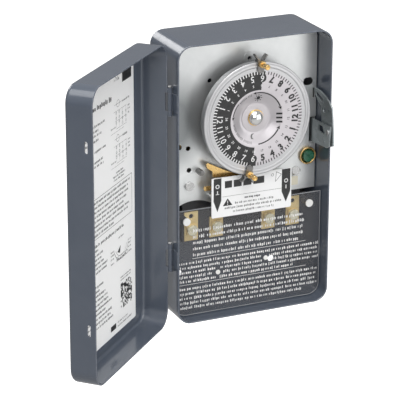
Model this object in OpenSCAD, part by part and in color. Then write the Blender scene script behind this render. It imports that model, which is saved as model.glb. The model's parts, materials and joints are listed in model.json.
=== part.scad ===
// Wall-mounted programmable timer: a steel box with a hinged door, a 24-hour
// dial with two trippers, a trip lever and switch, and a wiring space below.
// The origin is the centre of the case's back face. +X is right, +Y goes into
// the wall and +Z is up. Depths are measured back from the case's front rim.

/* [Case] */
// Outside width of the case
case_w = 127; // [124:1:160]
// Outside height of the case
case_h = 219; // [212:1:270]
// Depth of the case from the back face to the front rim
case_d = 54; // [53:1:70]
// Thickness of the case and door sheet
sheet_t = 1.2; // [0.8:0.1:1.4]
// Outside radius of the case's four corners
corner_r = 11; // [7:0.5:14]

/* [Wall fixing and conduit] */
// Distance between the two lower wall screw holes
wall_hole_pitch = 80; // [60:1:84]
// Height of the lower wall screw holes, from the case's centre
wall_hole_z = -90; // [-92:1:-80]
// Radius of the wall screw holes
wall_hole_r = 2.75; // [2:0.25:3.5]
// Height of the keyhole, from the case's centre
keyhole_z = 88; // [75:1:92]
// Radius of the keyhole's round end
keyhole_r = 4.5; // [4:0.25:6]
// Radius of the conduit knockouts
knockout_r = 11.1; // [9:0.1:11.5]
// Distance between the two knockouts on one wall
knockout_pitch = 60; // [50:1:66]
// Depth of the wall knockouts behind the rim
knockout_back = 32; // [26:1:38]
// Height of the side and back knockouts, from the case's centre
knockout_z = -70; // [-76:1:-64]

/* [Door] */
// Outside depth of the door
door_depth = 21.6; // [20.5:0.1:30]
// How far the door's walls reach back over the case
door_overlap = 8; // [6:0.5:8.5]
// Clearance between the door's walls and the case
door_gap = 0.9; // [0.7:0.1:1.2]
// Opening angle at which the door stands
door_angle = 136.2; // [90:0.1:160]
// Length of the two snap slots in the door
snap_slot_l = 9; // [6:0.5:12]
// Width of the two snap slots in the door
snap_slot_w = 2.4; // [2:0.1:3]
// Distance of the snap slots from the door's rim
snap_slot_in = 5.3; // [4:0.1:5.5]
// Height of the upper snap slot
snap_upper_z = 70; // [60:1:80]
// Height of the lower snap slot
snap_lower_z = -66; // [-80:1:-60]
// Width of the paper sheet inside the door
paper_w = 106; // [90:1:108]
// Height of the paper sheet inside the door
paper_h = 204; // [150:1:205]

/* [Door hinges] */
// Radius of a hinge pin
pin_r = 1; // [0.8:0.1:1.2]
// Wall of a hinge knuckle round its pin
knuckle_wall = 0.85; // [0.6:0.05:1]
// Height of a whole hinge
hinge_h = 22; // [16:1:30]
// Height of the door's knuckles at each end of a hinge
end_knuckle_h = 4; // [3:0.5:5]
// Height of the upper hinge's centre
hinge_upper_z = 66; // [50:1:80]
// Height of the lower hinge's centre
hinge_lower_z = -57; // [-80:1:-40]
// Depth of the hinge axis behind the rim
hinge_back = 9.8; // [9.6:0.1:10.4]

/* [Mechanism plate] */
// Depth of the plate's front face behind the rim
plate_back = 22; // [21.5:0.5:23]
// Thickness of the plate
plate_t = 1.2; // [1:0.1:1.5]
// Clearance between the plate and the case's walls
plate_gap = 0.8; // [0.5:0.1:1]
// Height of the plate's bottom edge
plate_bottom_z = -22.4; // [-25:0.1:-21.5]
// Length of the upper notch in the plate's right edge
upper_notch_l = 8; // [7:0.5:10]
// Length of the lower notch in the plate's right edge
lower_notch_l = 20; // [19.5:0.5:24]

/* [Dial] */
// Distance of the dial's axis right of the case's centre
dial_x = 4; // [2:0.5:5]
// Height of the dial's axis
dial_z = 45; // [44:0.5:46]
// Depth of the dial's front rim behind the case's rim
dial_front = 5; // [4.5:0.5:5.5]
// Thickness of the dial
dial_t = 9; // [8.5:0.5:9.5]
// Outside radius of the dial
dial_r = 44.4; // [38:0.1:45]
// Width of the dial's serrated ring
ring_w = 4.6; // [3:0.1:5]
// Outside radius of the dished middle of the dial
dish_r = 21.5; // [18:0.5:23]
// Depth of the dished middle of the dial
dish_d = 4; // [3:0.1:4.5]
// Radius of the disc at the bottom of the dish
hub_disc_r = 11.4; // [10:0.1:12]
// Radius of the dial's knob
knob_r = 5.7; // [4:0.1:6]
// Radius of the dial's arbor
arbor_r = 3; // [2.5:0.1:3.2]
// Angle of the on tripper, from +X towards +Z
on_angle = 87.4; // [80:0.1:100]
// Angle of the off tripper, from +X towards +Z
off_angle = 260; // [250:0.1:280]

/* [Gear train] */
// Module of all the gears
gear_m = 1; // [0.9:0.05:1]
// Teeth on the dial gear
dial_teeth = 60; // [54:6:60]
// Teeth on each pinion
pinion_teeth = 12; // [12:1:12]
// Teeth on the idler's wheel
wheel_teeth = 48; // [42:6:48]
// Direction from the dial to the idler
idler_angle = 213.7; // [205:0.1:216]
// Direction from the idler to the motor
motor_angle = 10; // [0:1:16]
// Thickness of a gear
gear_t = 2.6; // [2:0.1:2.8]
// Running clearance of every shaft in its bearing
shaft_play = 0.06; // [0.04:0.01:0.09]

/* [Motor] */
// Outside radius of the motor can
motor_r = 24; // [20:0.5:26]
// Depth of the motor can
motor_l = 16; // [13:0.5:17]

/* [Switch] */
// Distance of the trip shaft right of the case's centre
trip_x = 4; // [3:0.5:5]
// Height of the trip shaft
trip_z = -8; // [-8.5:0.5:-7.5]
// Radius of the trip shaft
trip_shaft_r = 2.5; // [2:0.1:2.6]
// Swing of the trip lever from off to on
trip_swing = 24; // [18:1:26]
// Radius of the switch crank
crank_r = 8; // [7:0.25:8.25]
// Half width of the switch base
base_half_w = 50; // [49:0.5:53]
// Height of the switch base's bottom edge
base_bottom_z = -52; // [-56:1:-52]
// Depth of the switch base from front to back
base_d = 12.8; // [12:0.2:15]
// Distance of the outer terminals from the centre
outer_term_x = 43; // [42:0.5:44]
// Distance of the inner terminals from the centre
inner_term_x = 22; // [18:0.5:26]
// Height of the terminal screws
term_z = -42; // [-44:0.5:-41]
// Width of a terminal plate
term_w = 11.4; // [9:0.2:12]

/* [Label and insulator] */
// Width of the switch label plate
label_w = 67; // [60:1:68]
// Height of the switch label plate
label_h = 31.8; // [28:0.2:32]
// Depth of the label plate behind the rim
label_back = 10; // [9.9:0.1:10.1]
// Depth of the insulator sheet behind the rim
sheet_back = 11.4; // [11.2:0.1:12]
// Thickness of the insulator sheet
insulator_t = 0.6; // [0.4:0.1:0.8]
// Height of the insulator's top edge
insulator_top_z = -21.6; // [-24:0.1:-21]

/* [Latch] */
// Radius of the latch rivet
rivet_r = 1.25; // [1:0.05:1.5]
// Thickness of the latch bracket and lever
latch_t = 1.2; // [1:0.1:1.3]
// Gap between the latch bracket and its lever
latch_gap = 0.6; // [0.4:0.1:0.7]

/* [Hidden] */
$fn = 48;
eps = 0.01;
flat_gap = 0.3;

// Case and door outlines
inner_w = case_w - 2 * sheet_t;
inner_h = case_h - 2 * sheet_t;
inner_r = corner_r - sheet_t;
back_in = case_d - sheet_t;
door_w = case_w + 2 * (door_gap + sheet_t);
door_h = case_h + 2 * (door_gap + sheet_t);
door_r = corner_r + door_gap + sheet_t;
door_rim = door_overlap;
door_face = door_rim - door_depth;
snap_y = door_rim - snap_slot_in;

// Hinges
knuckle_r = pin_r + knuckle_wall;
hinge_x = -case_w / 2 - flat_gap - knuckle_r;
leaf_t = 0.6;
leaf_l = 16;
knuckle_gap = 0.15;

// Mechanism plate
plate_half = inner_w / 2 - plate_gap;
plate_top = inner_h / 2 - plate_gap;
plate_rear = plate_back + plate_t;
plate_r = inner_r - plate_gap;
upper_notch_z = 54;
lower_notch_z = 25;
ground_r = 6.9;
ground_x = plate_half - ground_r;
ground_z = 4.4;
block_screw_x = 44.7;
block_screw_z = -6.8;

// Dial
dial_rear = dial_front + dial_t;
ring_in_r = dial_r - ring_w;
flange_y = dial_front + 2.8;
groove_r = dial_r - 1.8;
face_y = dial_front + 0.4;
face_t = 0.6;
web_t = 2;
dish_in_r = hub_disc_r + 0.4;
dish_y = face_y + dish_d;
hub_disc_y = dish_y - 0.4;
washer_y = hub_disc_y - 0.4;

// Trippers
clip_t = 1;
clip_half = 3.2;
clip_front = dial_front - flat_gap - clip_t;
clip_lip_t = 0.5;
clip_rear = flange_y + flat_gap + clip_lip_t;
screw_at_r = dial_r - 1.4;

// Gear train, from front to back
gear_y = plate_rear + 3;
wheel_y = gear_y + gear_t + 1.2;
gear_plate_y = wheel_y + gear_t + 0.8;
gear_plate_t = 1.2;
motor_y = gear_plate_y + gear_plate_t;
dial_to_idler = gear_m * (dial_teeth + pinion_teeth) / 2;
idler_to_motor = gear_m * (wheel_teeth + pinion_teeth) / 2;
idler_x = dial_x + dial_to_idler * cos(idler_angle);
idler_z = dial_z + dial_to_idler * sin(idler_angle);
motor_x = idler_x + idler_to_motor * cos(motor_angle);
motor_z = idler_z + idler_to_motor * sin(motor_angle);
stud_r = 2;
motor_shaft_r = 1.5;
post_r = 2.5;
gear_plate_l = dial_x - 58;
gear_plate_r = dial_x + 38;
gear_plate_b = dial_z - 45;
gear_plate_t_z = dial_z + 19;
post_in = 4;
can_t = 1.2;
lead_r = 0.9;
lead_offset = 3.5;

// Switch
base_y = plate_rear;
base_top_z = -1.5;
base_rear = base_y + base_d;
lever_t = 1.2;
lever_y = dial_rear + 1.6;
slider_y = base_y + 2.4;
slider_t = 3;
slider_half = 30;
slider_h = 8;
slider_z = trip_z - crank_r;
crank_y = slider_y + slider_t + 0.4;
crank_t = 2;
crank_pin_r = 1.5;
contact_t = 1.2;
slide_travel = 2 * crank_r * sin(trip_swing / 2);
contact_gap = slide_travel + 0.2;
cavity_half = slider_half + 4;
cavity_top = -3;
cavity_bottom = slider_z - 10;

// Terminals
term_t = 1.2;
term_y = base_y - term_t;
clamp_t = 1.2;
clamp_w = 8.4;
head_t = 2.4;
term_screw_r = 2;

// Label and insulator
label_t = 0.8;
label_x = 2;
label_z = -15.2;
label_post_x = 29;
label_post_z = -17;
label_post_r = 2;
insulator_half = inner_w / 2 - 0.8;
insulator_bottom = -inner_h / 2 + 0.8;
insulator_post_x = base_half_w + 1.7;
insulator_post_z = -31;
insulator_post_r = 3;

// Latch
latch_x = case_w / 2 - sheet_t - 4.9;
lever_x = latch_x + latch_t + latch_gap;
rivet_y = -6.2;
rivet_z = 30.5;
foot_l = 12;

// Draws a flat shape of X and Z, from depth y0 to depth y1 behind the rim
module deep(y0, y1) {
    translate([0, y1 - case_d, 0])
        rotate([90, 0, 0]) linear_extrude(y1 - y0) children();
}

// Draws a flat shape of depth and Z, from x0 to x1
module across(x0, x1) {
    translate([x0, -case_d, 0])
        rotate([90, 0, 90]) linear_extrude(x1 - x0) children();
}

// A box between two corners, with depths behind the rim
module block(low, high) {
    translate([low[0], low[1] - case_d, low[2]]) cube(high - low);
}

// A round bar along the depth
module rod(x, z, r, y0, y1, fn = 48) {
    translate([x, y1 - case_d, z])
        rotate([90, 0, 0]) cylinder(h = y1 - y0, r = r, $fn = fn);
}

// A solid turned about an axis along the depth, from a profile of radius and depth
module turned(x, z, fn = 96) {
    translate([x, -case_d, z])
        rotate([-90, 0, 0]) rotate_extrude($fn = fn) children();
}

module rounded(w, h, r) {
    square([w - 2 * r, h], center = true);
    square([w, h - 2 * r], center = true);
    for (sx = [-1, 1], sz = [-1, 1])
        translate([sx * (w / 2 - r), sz * (h / 2 - r)]) circle(r);
}

module at(x, z) {
    translate([x, z]) children();
}

module slot(p, q, r) {
    d = q - p;
    translate(p) circle(r);
    translate(q) circle(r);
    translate(p) rotate(atan2(d[1], d[0]))
        translate([0, -r]) square([norm(d), 2 * r]);
}

// Involute gear teeth
function inv(a) = tan(a) - a * PI / 180;
function half_tooth(n, r, rb, rho) =
    (90 - 12 / gear_m) / n + (inv(20) - inv(acos(min(1, rb / rho)))) * 180 / PI;

module gear(n, turn) {
    r = gear_m * n / 2;
    rb = r * cos(20);
    tip = r + 0.9 * gear_m;
    root = r - 1.2 * gear_m;
    low = max(rb, root);
    steps = 4;
    radii = [for (i = [0:steps]) low + (tip - low) * i / steps];
    points = [
        for (k = [0:n - 1])
            let (a = turn + 360 * k / n, wide = half_tooth(n, r, rb, low))
                for (p = concat(
                    [[root, -wide]],
                    [for (rho = radii) [rho, -half_tooth(n, r, rb, rho)]],
                    [for (i = [steps:-1:0]) [radii[i], half_tooth(n, r, rb, radii[i])]],
                    [[root, wide]]))
                    [p[0] * cos(a + p[1]), p[0] * sin(a + p[1])]
    ];
    polygon(points);
}

// Places a part on the dial's rim with its own X pointing outwards
module on_dial(angle) {
    translate([dial_x, 0, dial_z]) rotate([0, -angle, 0]) children();
}

// Carries the door from its closed place to where it stands open
module opened() {
    translate([hinge_x, hinge_back - case_d, 0]) rotate([0, 0, -door_angle])
        translate([-hinge_x, case_d - hinge_back, 0]) children();
}

function knockout_places() = [
    [-knockout_pitch / 2, knockout_z, "back"], [knockout_pitch / 2, knockout_z, "back"],
    [-knockout_pitch / 2, 0, "bottom"], [knockout_pitch / 2, 0, "bottom"],
    [-case_w / 2, knockout_z, "side"], [case_w / 2 - sheet_t, knockout_z, "side"],
];

// A disc in one wall of the case at each knockout, of one radius and thickness
module knockout_discs(r, extra) {
    for (p = knockout_places()) {
        if (p[2] == "back") rod(p[0], p[1], r, back_in - extra, case_d + extra);
        if (p[2] == "bottom")
            translate([p[0], knockout_back - case_d, -case_h / 2 - extra])
                cylinder(h = sheet_t + 2 * extra, r = r);
        if (p[2] == "side")
            translate([p[0] - extra, knockout_back - case_d, p[1]])
                rotate([0, 90, 0]) cylinder(h = sheet_t + 2 * extra, r = r);
    }
}

module case_shell() {
    color("slategray") {
        difference() {
            deep(0, case_d) rounded(case_w, case_h, corner_r);
            deep(-1, back_in) rounded(inner_w, inner_h, inner_r);
            for (s = [-1, 1])
                rod(s * wall_hole_pitch / 2, wall_hole_z, wall_hole_r, back_in - 1, case_d + 1);
            rod(0, keyhole_z, keyhole_r, back_in - 1, case_d + 1);
            deep(back_in - 1, case_d + 1)
                slot([0, keyhole_z], [0, keyhole_z + keyhole_r + wall_hole_r], wall_hole_r);
            knockout_discs(knockout_r, 1);
        }
        for (z = [snap_upper_z, snap_lower_z])
            across(case_w / 2, case_w / 2 + door_gap - 0.4)
                slot([snap_y, z - snap_slot_l / 2 + 1.6], [snap_y, z + snap_slot_l / 2 - 1.6], 0.8);
    }
}

module knockout_slugs() {
    color("slategray") knockout_discs(knockout_r, 0);
}

module case_hinge_leaves() {
    h = hinge_h - 2 * (end_knuckle_h + knuckle_gap);
    color("slategray") for (z = [hinge_upper_z, hinge_lower_z])
        translate([0, -case_d, z - h / 2]) difference() {
            union() {
                translate([hinge_x, hinge_back, 0]) cylinder(h = h, r = knuckle_r);
                translate([-case_w / 2 - leaf_t, 0.6, 0]) cube([leaf_t, leaf_l, h]);
                translate([hinge_x, hinge_back - leaf_t, 0])
                    cube([-case_w / 2 - hinge_x, 2 * leaf_t, h]);
            }
            translate([hinge_x, hinge_back, -1]) cylinder(h = h + 2, r = pin_r);
        }
}

module hinge_pins() {
    head_h = 0.8;
    color("silver") for (z = [hinge_upper_z, hinge_lower_z])
        translate([hinge_x, hinge_back - case_d, z]) {
            cylinder(h = hinge_h + 0.6, r = pin_r, center = true);
            translate([0, 0, hinge_h / 2 + 0.2]) cylinder(h = head_h, r = pin_r + 0.5);
        }
}

module hasp_bracket() {
    low = 16;
    high = 34.2;
    color("lightsteelblue") difference() {
        union() {
            across(latch_x, latch_x + latch_t)
                polygon([[-10, 36], [6, high + 0.8], [plate_rear, high], [back_in, high],
                    [back_in, low], [plate_back, low - 0.4], [-5, low + 1.8], [-8.2, low + 4]]);
            block([latch_x - foot_l, back_in - latch_t, low], [latch_x + eps, back_in, high]);
        }
        across(latch_x - 1, latch_x + latch_t + 1) at(4, 30.2) square([10, 5.4], center = true);
        translate([latch_x - 1, rivet_y - case_d, rivet_z])
            rotate([0, 90, 0]) cylinder(h = latch_t + 2, r = rivet_r);
        for (z = [low + 4, high - 4])
            rod(latch_x - foot_l / 2, z, rivet_r, back_in - latch_t - 1, back_in + 1);
    }
}

module hasp_rivets() {
    color("silver") for (z = [20, 30.2]) {
        rod(latch_x - foot_l / 2, z, rivet_r, back_in - latch_t, back_in);
        rod(latch_x - foot_l / 2, z, rivet_r + 1.2, back_in - latch_t - 1, back_in - latch_t);
    }
}

module latch_lever() {
    color("lightsteelblue") difference() {
        across(lever_x, lever_x + latch_t)
            polygon([[plate_back - 1.2, 58.7], [11.6, 58.7], [3.2, 56.6], [-4, 53.6],
                [-8.4, 50.2], [-9.8, 41.3], [-11.4, 28.7], [-11.7, 20.8], [-6.2, 18.8],
                [1, 22], [8, 34.7], [9, 47], [14.8, 49.9], [plate_back - 1, 55.2]]);
        across(lever_x - 1, lever_x + latch_t + 1) slot([7.8, 52.2], [16.6, 54.6], 1.5);
        translate([lever_x - 1, -case_d, 0]) {
            translate([0, 4, 45.2]) rotate([0, 90, 0]) cylinder(h = latch_t + 2, r = 1.6);
            translate([0, rivet_y, rivet_z])
                rotate([0, 90, 0]) cylinder(h = latch_t + 2, r = rivet_r + shaft_play);
        }
    }
}

module latch_rivet() {
    head_r = rivet_r + 1.1;
    color("gainsboro") translate([latch_x, rivet_y - case_d, rivet_z]) rotate([0, 90, 0]) {
        translate([0, 0, -0.9]) cylinder(h = 0.9, r = head_r);
        cylinder(h = 2 * latch_t + latch_gap + 0.2, r = rivet_r);
        translate([0, 0, 2 * latch_t + latch_gap + 0.2]) cylinder(h = 0.8, r = head_r);
        translate([0, 0, latch_t]) cylinder(h = latch_gap - 0.15, r = head_r);
    }
}

module plate_outline() {
    difference() {
        intersection() {
            rounded(2 * plate_half, 2 * plate_top, plate_r);
            at(0, (plate_top + plate_bottom_z) / 2)
                square([2 * plate_half, plate_top - plate_bottom_z], center = true);
        }
        at(plate_half, upper_notch_z) square([6, upper_notch_l], center = true);
        at(plate_half, lower_notch_z) square([11, lower_notch_l], center = true);
        at(-40.7, plate_bottom_z - 24.6) circle(28);
    }
}

module mechanism_plate() {
    color("gainsboro") {
        difference() {
            union() {
                deep(plate_back, plate_rear) plate_outline();
                rod(dial_x + 0.4, dial_z + 43, 4.5, plate_back - 0.5, plate_back + eps);
            }
            rod(dial_x + 0.4, dial_z + 43, 1.5, plate_back - 2, plate_rear + 1);
            rod(dial_x - 32, dial_z + 29.2, 1.7, plate_back - 1, plate_rear + 1);
            deep(plate_back - 1, plate_rear + 1)
                slot([53.4, 63.6], [55.4, 63.6], 3.1);
            rod(-53, 24.8, 2.2, plate_back - 1, plate_rear + 1);
            rod(-45.6, 23.1, 1.9, plate_back - 1, plate_rear + 1);
            rod(-44.9, 5.8, 1.9, plate_back - 1, plate_rear + 1);
            rod(dial_x, dial_z, 6, plate_back - 1, plate_rear + 1);
            rod(trip_x, trip_z, trip_shaft_r + 2, plate_back - 1, plate_rear + 1);
            rod(idler_x, idler_z, stud_r, plate_back - 1, plate_rear + 1);
            rod(ground_x, ground_z, 2, plate_back - 1, plate_rear + 1);
            for (s = [-1, 1])
                rod(s * block_screw_x, block_screw_z, 1.8, plate_back - 1, plate_rear + 1);
        }
        for (s = [-1, 1])
            block([s * (plate_half - plate_t / 2) - plate_t / 2, plate_rear, plate_bottom_z],
                [s * (plate_half - plate_t / 2) + plate_t / 2, back_in, plate_top - plate_r]);
    }
}

module ground_washer() {
    color("peru") turned(ground_x, ground_z, 48)
        polygon([[2, plate_back - 0.6], [ground_r - 2.2, plate_back - 0.6],
            [ground_r - 1.1, plate_back - 2.2], [ground_r, plate_back - 2.2],
            [ground_r, plate_back - 1.6], [ground_r - 1.4, plate_back], [2, plate_back]]);
}

module ground_screw() {
    top = plate_back - 0.6;
    color("seagreen") difference() {
        union() {
            rod(ground_x, ground_z, 2, top - 0.1, plate_rear + 4);
            rod(ground_x, ground_z, ground_r - 2.4, top - 2.6, top);
        }
        translate([ground_x, top - 2.6 - case_d, ground_z]) rotate([0, 45, 0])
            cube([2 * ground_r, 1.8, 1.1], center = true);
    }
}

// A round-headed screw, pointing into the case, with its head in front of depth y
module screw(x, z, r, head_r, head, y, depth) {
    difference() {
        union() {
            rod(x, z, r, y, y + depth);
            rod(x, z, head_r, y - head, y);
        }
        translate([x, y - head - case_d, z]) rotate([0, 30, 0])
            cube([2 * head_r + 1, head, 0.9], center = true);
    }
}

module block_screws() {
    color("silver") for (s = [-1, 1])
        screw(s * block_screw_x, block_screw_z, 1.8, 3.6, 1.8, plate_back, 9);
}

module dial_bushing() {
    color("goldenrod") turned(dial_x, dial_z, 48)
        polygon([[arbor_r + shaft_play, plate_back - 2.4], [9, plate_back - 2.4], [9, plate_back],
            [6, plate_back], [6, plate_rear + 2], [arbor_r + shaft_play, plate_rear + 2]]);
}

module dial_arbor() {
    color("silver") rod(dial_x, dial_z, arbor_r, washer_y, motor_y - 0.1);
}

module dial_gear() {
    color("goldenrod") difference() {
        translate([dial_x, 0, dial_z]) deep(gear_y, gear_y + gear_t) gear(dial_teeth, idler_angle);
        rod(dial_x, dial_z, arbor_r, gear_y - 1, gear_y + gear_t + 1);
    }
}

module dial_tray() {
    web_y = face_y + face_t;
    low_y = dish_y + face_t;
    color("lightgray") turned(dial_x, dial_z, 144)
        polygon([
            [arbor_r, low_y], [dish_in_r, low_y], [dish_r, web_y], [ring_in_r, web_y],
            [ring_in_r, face_y], [ring_in_r + 0.4, dial_front], [dial_r - 0.6, dial_front],
            [dial_r, dial_front + 0.6], [dial_r, flange_y], [groove_r, flange_y],
            [groove_r, dial_rear], [groove_r - 2.6, dial_rear], [groove_r - 2.6, web_y + web_t],
            [dish_r, web_y + web_t], [dish_in_r, low_y + web_t], [9, low_y + web_t],
            [8, plate_back - 2.8], [arbor_r, plate_back - 2.8]]);
}

module dial_face() {
    edge = ring_in_r - 0.1;
    color("whitesmoke") turned(dial_x, dial_z, 144)
        polygon([[arbor_r, dish_y], [dish_in_r, dish_y], [dish_r, face_y], [edge, face_y],
            [edge, face_y + face_t], [dish_r, face_y + face_t], [dish_in_r, dish_y + face_t],
            [arbor_r, dish_y + face_t]]);
}

module dial_hub_disc() {
    color("silver") difference() {
        rod(dial_x, dial_z, hub_disc_r, hub_disc_y, dish_y, 96);
        rod(dial_x, dial_z, arbor_r, hub_disc_y - 1, dish_y + 1);
    }
}

module dial_washer() {
    color("goldenrod") difference() {
        rod(dial_x, dial_z, knob_r + 0.7, washer_y, hub_disc_y);
        rod(dial_x, dial_z, arbor_r, washer_y - 1, hub_disc_y + 1);
    }
}

module dial_knob() {
    skirt = 0.8;
    color("gainsboro") turned(dial_x, dial_z)
        polygon(concat(
            [[0, washer_y], [knob_r, washer_y]],
            [for (a = [0:10:90])
                [knob_r * cos(a), washer_y - skirt - (knob_r - 2.3) * sin(a)]]));
}

// A spring clip that hooks round the dial's rim, with a forked trip finger outside it
module tripper(angle) {
    out_r = dial_r + flat_gap;
    on_dial(angle) difference() {
        union() {
            deep(clip_front, clip_front + clip_t) {
                slot([dial_r - 6, 0], [dial_r - 3, 0], clip_half - 0.6);
                at(dial_r - 1, 0) square([4 + 2 * flat_gap + eps, 2 * clip_half], center = true);
            }
            block([out_r, clip_front, -clip_half], [out_r + clip_t, clip_rear, clip_half]);
            block([groove_r + flat_gap, clip_rear - clip_lip_t, -clip_half],
                [out_r + clip_t, clip_rear, clip_half]);
            for (s = [-1, 1])
                translate([out_r + clip_t - 0.3, 0, s * (clip_half - 1.6)]) rotate([0, -s * 38, 0])
                    block([-0.4, clip_front + 0.4, -0.5], [5.4, clip_rear, 0.5]);
        }
        rod(screw_at_r, 0, 1.3 + shaft_play, clip_front - 1, clip_front + clip_t + 1);
    }
}

module thumbscrew(angle) {
    collar_y = clip_front - 0.2;
    on_dial(angle) difference() {
        union() {
            rod(screw_at_r, 0, 1.3, collar_y - 3, dial_front - 0.15);
            rod(screw_at_r, 0, 2.7, collar_y - 2.6, collar_y);
            rod(screw_at_r, 0, 1.5, collar_y - 7.6, collar_y - 2.4);
            rod(screw_at_r, 0, 2.1, collar_y - 10.8, collar_y - 7.6);
        }
        block([screw_at_r - 3, collar_y - 12, -0.35], [screw_at_r + 3, collar_y - 9.8, 0.35]);
    }
}

module on_tripper() {
    color("dimgray") tripper(on_angle);
}

module on_thumbscrew() {
    color("goldenrod") thumbscrew(on_angle);
}

module off_tripper() {
    color("dimgray") tripper(off_angle);
}

module off_thumbscrew() {
    color("goldenrod") thumbscrew(off_angle);
}

module idler_stud() {
    color("silver") rod(idler_x, idler_z, stud_r, plate_back + 0.2, motor_y - 0.2);
}

module idler_gear() {
    color("goldenrod") difference() {
        union() {
            translate([idler_x, 0, idler_z]) {
                deep(gear_y, gear_y + gear_t)
                    gear(pinion_teeth, idler_angle + 180 + 180 / pinion_teeth);
                deep(wheel_y, wheel_y + gear_t) gear(wheel_teeth, motor_angle);
            }
            rod(idler_x, idler_z, 4.4, gear_y + gear_t, wheel_y);
            rod(idler_x, idler_z, 4.4, plate_rear + 0.4, gear_y);
        }
        rod(idler_x, idler_z, stud_r + shaft_play, plate_rear - 1, wheel_y + gear_t + 1);
    }
}

function post_places() = [
    for (x = [gear_plate_l + post_in, gear_plate_r - post_in],
        z = [gear_plate_b + post_in, gear_plate_t_z - post_in]) [x, z]
];

module gear_plate() {
    w = gear_plate_r - gear_plate_l;
    h = gear_plate_t_z - gear_plate_b;
    color("gainsboro") difference() {
        deep(gear_plate_y, motor_y)
            at(gear_plate_l + w / 2, gear_plate_b + h / 2) rounded(w, h, 4);
        rod(dial_x, dial_z, arbor_r + shaft_play, gear_plate_y - 1, motor_y + 1);
        rod(idler_x, idler_z, stud_r, gear_plate_y - 1, motor_y + 1);
        rod(motor_x, motor_z, motor_shaft_r + shaft_play, gear_plate_y - 1, motor_y + 1);
        for (p = post_places()) rod(p[0], p[1], 1.5, gear_plate_y - 1, motor_y + 1);
    }
}

module gear_plate_posts() {
    color("silver") for (p = post_places())
        difference() {
            rod(p[0], p[1], post_r, plate_rear, gear_plate_y);
            rod(p[0], p[1], 1.5, gear_plate_y - 5, gear_plate_y + 1);
        }
}

module gear_plate_screws() {
    color("silver") for (p = post_places()) {
        rod(p[0], p[1], 1.5, gear_plate_y - 4.8, motor_y);
        rod(p[0], p[1], 2.9, motor_y, motor_y + 1.6);
    }
}

module motor_can() {
    rear = motor_y + motor_l;
    color("darkgray") difference() {
        union() {
            turned(motor_x, motor_z)
                polygon([[motor_r - can_t, motor_y], [motor_r, motor_y], [motor_r, rear],
                    [motor_shaft_r + shaft_play, rear], [motor_shaft_r + shaft_play, rear - 3.4],
                    [4, rear - 3.4], [4, rear - can_t], [motor_r - can_t, rear - can_t]]);
        }
        for (s = [-1, 1])
            translate([motor_x + s * lead_offset, motor_y + 7 - case_d, motor_z - motor_r - 2])
                cylinder(h = 6, r = lead_r + 0.3);
    }
}

module motor_coil() {
    color("chocolate") turned(motor_x, motor_z)
        polygon([[motor_r - 8.4, motor_y + 0.6], [motor_r - can_t, motor_y + 0.6],
            [motor_r - can_t, motor_y + motor_l - 2.4], [motor_r - 8.4, motor_y + motor_l - 2.4]]);
}

module motor_rotor() {
    color("silver") {
        rod(motor_x, motor_z, motor_shaft_r, wheel_y - 0.6, motor_y + motor_l - 0.8);
        rod(motor_x, motor_z, motor_r - 9.2, motor_y + 1.6, motor_y + motor_l - 4.2);
    }
}

module motor_pinion() {
    color("goldenrod") difference() {
        translate([motor_x, 0, motor_z]) deep(wheel_y - 0.4, wheel_y + gear_t + 0.4)
            gear(pinion_teeth, motor_angle + 180 + 180 / pinion_teeth);
        rod(motor_x, motor_z, motor_shaft_r, wheel_y - 1, wheel_y + gear_t + 1);
    }
}

// Two leads from the motor's coil, down and round into the switch cover
module motor_leads() {
    lead_y = motor_y + 7;
    cover_rear = base_rear + 1.2;
    bend = lead_y - cover_rear;
    low = -4;
    top = motor_z - motor_r + can_t + 0.2;
    color("firebrick") for (s = [-1, 1]) translate([motor_x + s * lead_offset, 0, 0]) {
        translate([0, lead_y - case_d, low]) cylinder(h = top - low, r = lead_r, $fn = 24);
        translate([0, cover_rear - case_d, low]) rotate([0, 90, 0])
            rotate_extrude(angle = 90, $fn = 48) translate([bend, 0]) circle(lead_r, $fn = 24);
    }
}

module trip_bushing() {
    bore = trip_shaft_r + shaft_play;
    color("goldenrod") turned(trip_x, trip_z, 48)
        polygon([[bore, lever_y + lever_t + 0.3], [trip_shaft_r + 3.2, lever_y + lever_t + 0.3],
            [trip_shaft_r + 3.2, plate_back], [trip_shaft_r + 2, plate_back],
            [trip_shaft_r + 2, plate_rear + 1.6], [bore, plate_rear + 1.6]]);
}

module trip_shaft() {
    color("silver") rod(trip_x, trip_z, trip_shaft_r, lever_y, crank_y + crank_t);
}

module trip_lever() {
    color("goldenrod") difference() {
        deep(lever_y, lever_y + lever_t) {
            at(trip_x, trip_z) circle(6);
            at(trip_x, trip_z) polygon([[-1.5, 4.2], [-21.1, 11.8], [-35.8, 19.6],
                [-37.4, 18.4], [-36.8, 15.6], [-32.3, 12.4], [-31.8, 8], [-24, 7],
                [-7.6, 1.2], [-38.6, 1.2], [-39.5, -0.6], [-38.6, -2.4], [-1.5, -2.4]]);
        }
        rod(trip_x, trip_z, trip_shaft_r, lever_y - 1, lever_y + lever_t + 1);
    }
}

module lever_stop() {
    color("darkslategray") {
        rod(-37.4, 4.6, 2.3, lever_y - 0.6, plate_back, 6);
        rod(-37.4, 4.6, 1.3, lever_y - 1.4, lever_y - 0.6, 24);
    }
}

module switch_crank() {
    a = trip_swing / 2;
    px = trip_x + crank_r * sin(a);
    pz = trip_z - crank_r * cos(a);
    color("ivory") {
        difference() {
            deep(crank_y, crank_y + crank_t) {
                at(trip_x, trip_z) circle(4.4);
                slot([trip_x, trip_z], [px, pz], 2.8);
            }
            rod(trip_x, trip_z, trip_shaft_r, crank_y - 1, crank_y + crank_t + 1);
        }
        rod(px, pz, crank_pin_r, slider_y + 0.6, crank_y, 32);
    }
}

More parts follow.
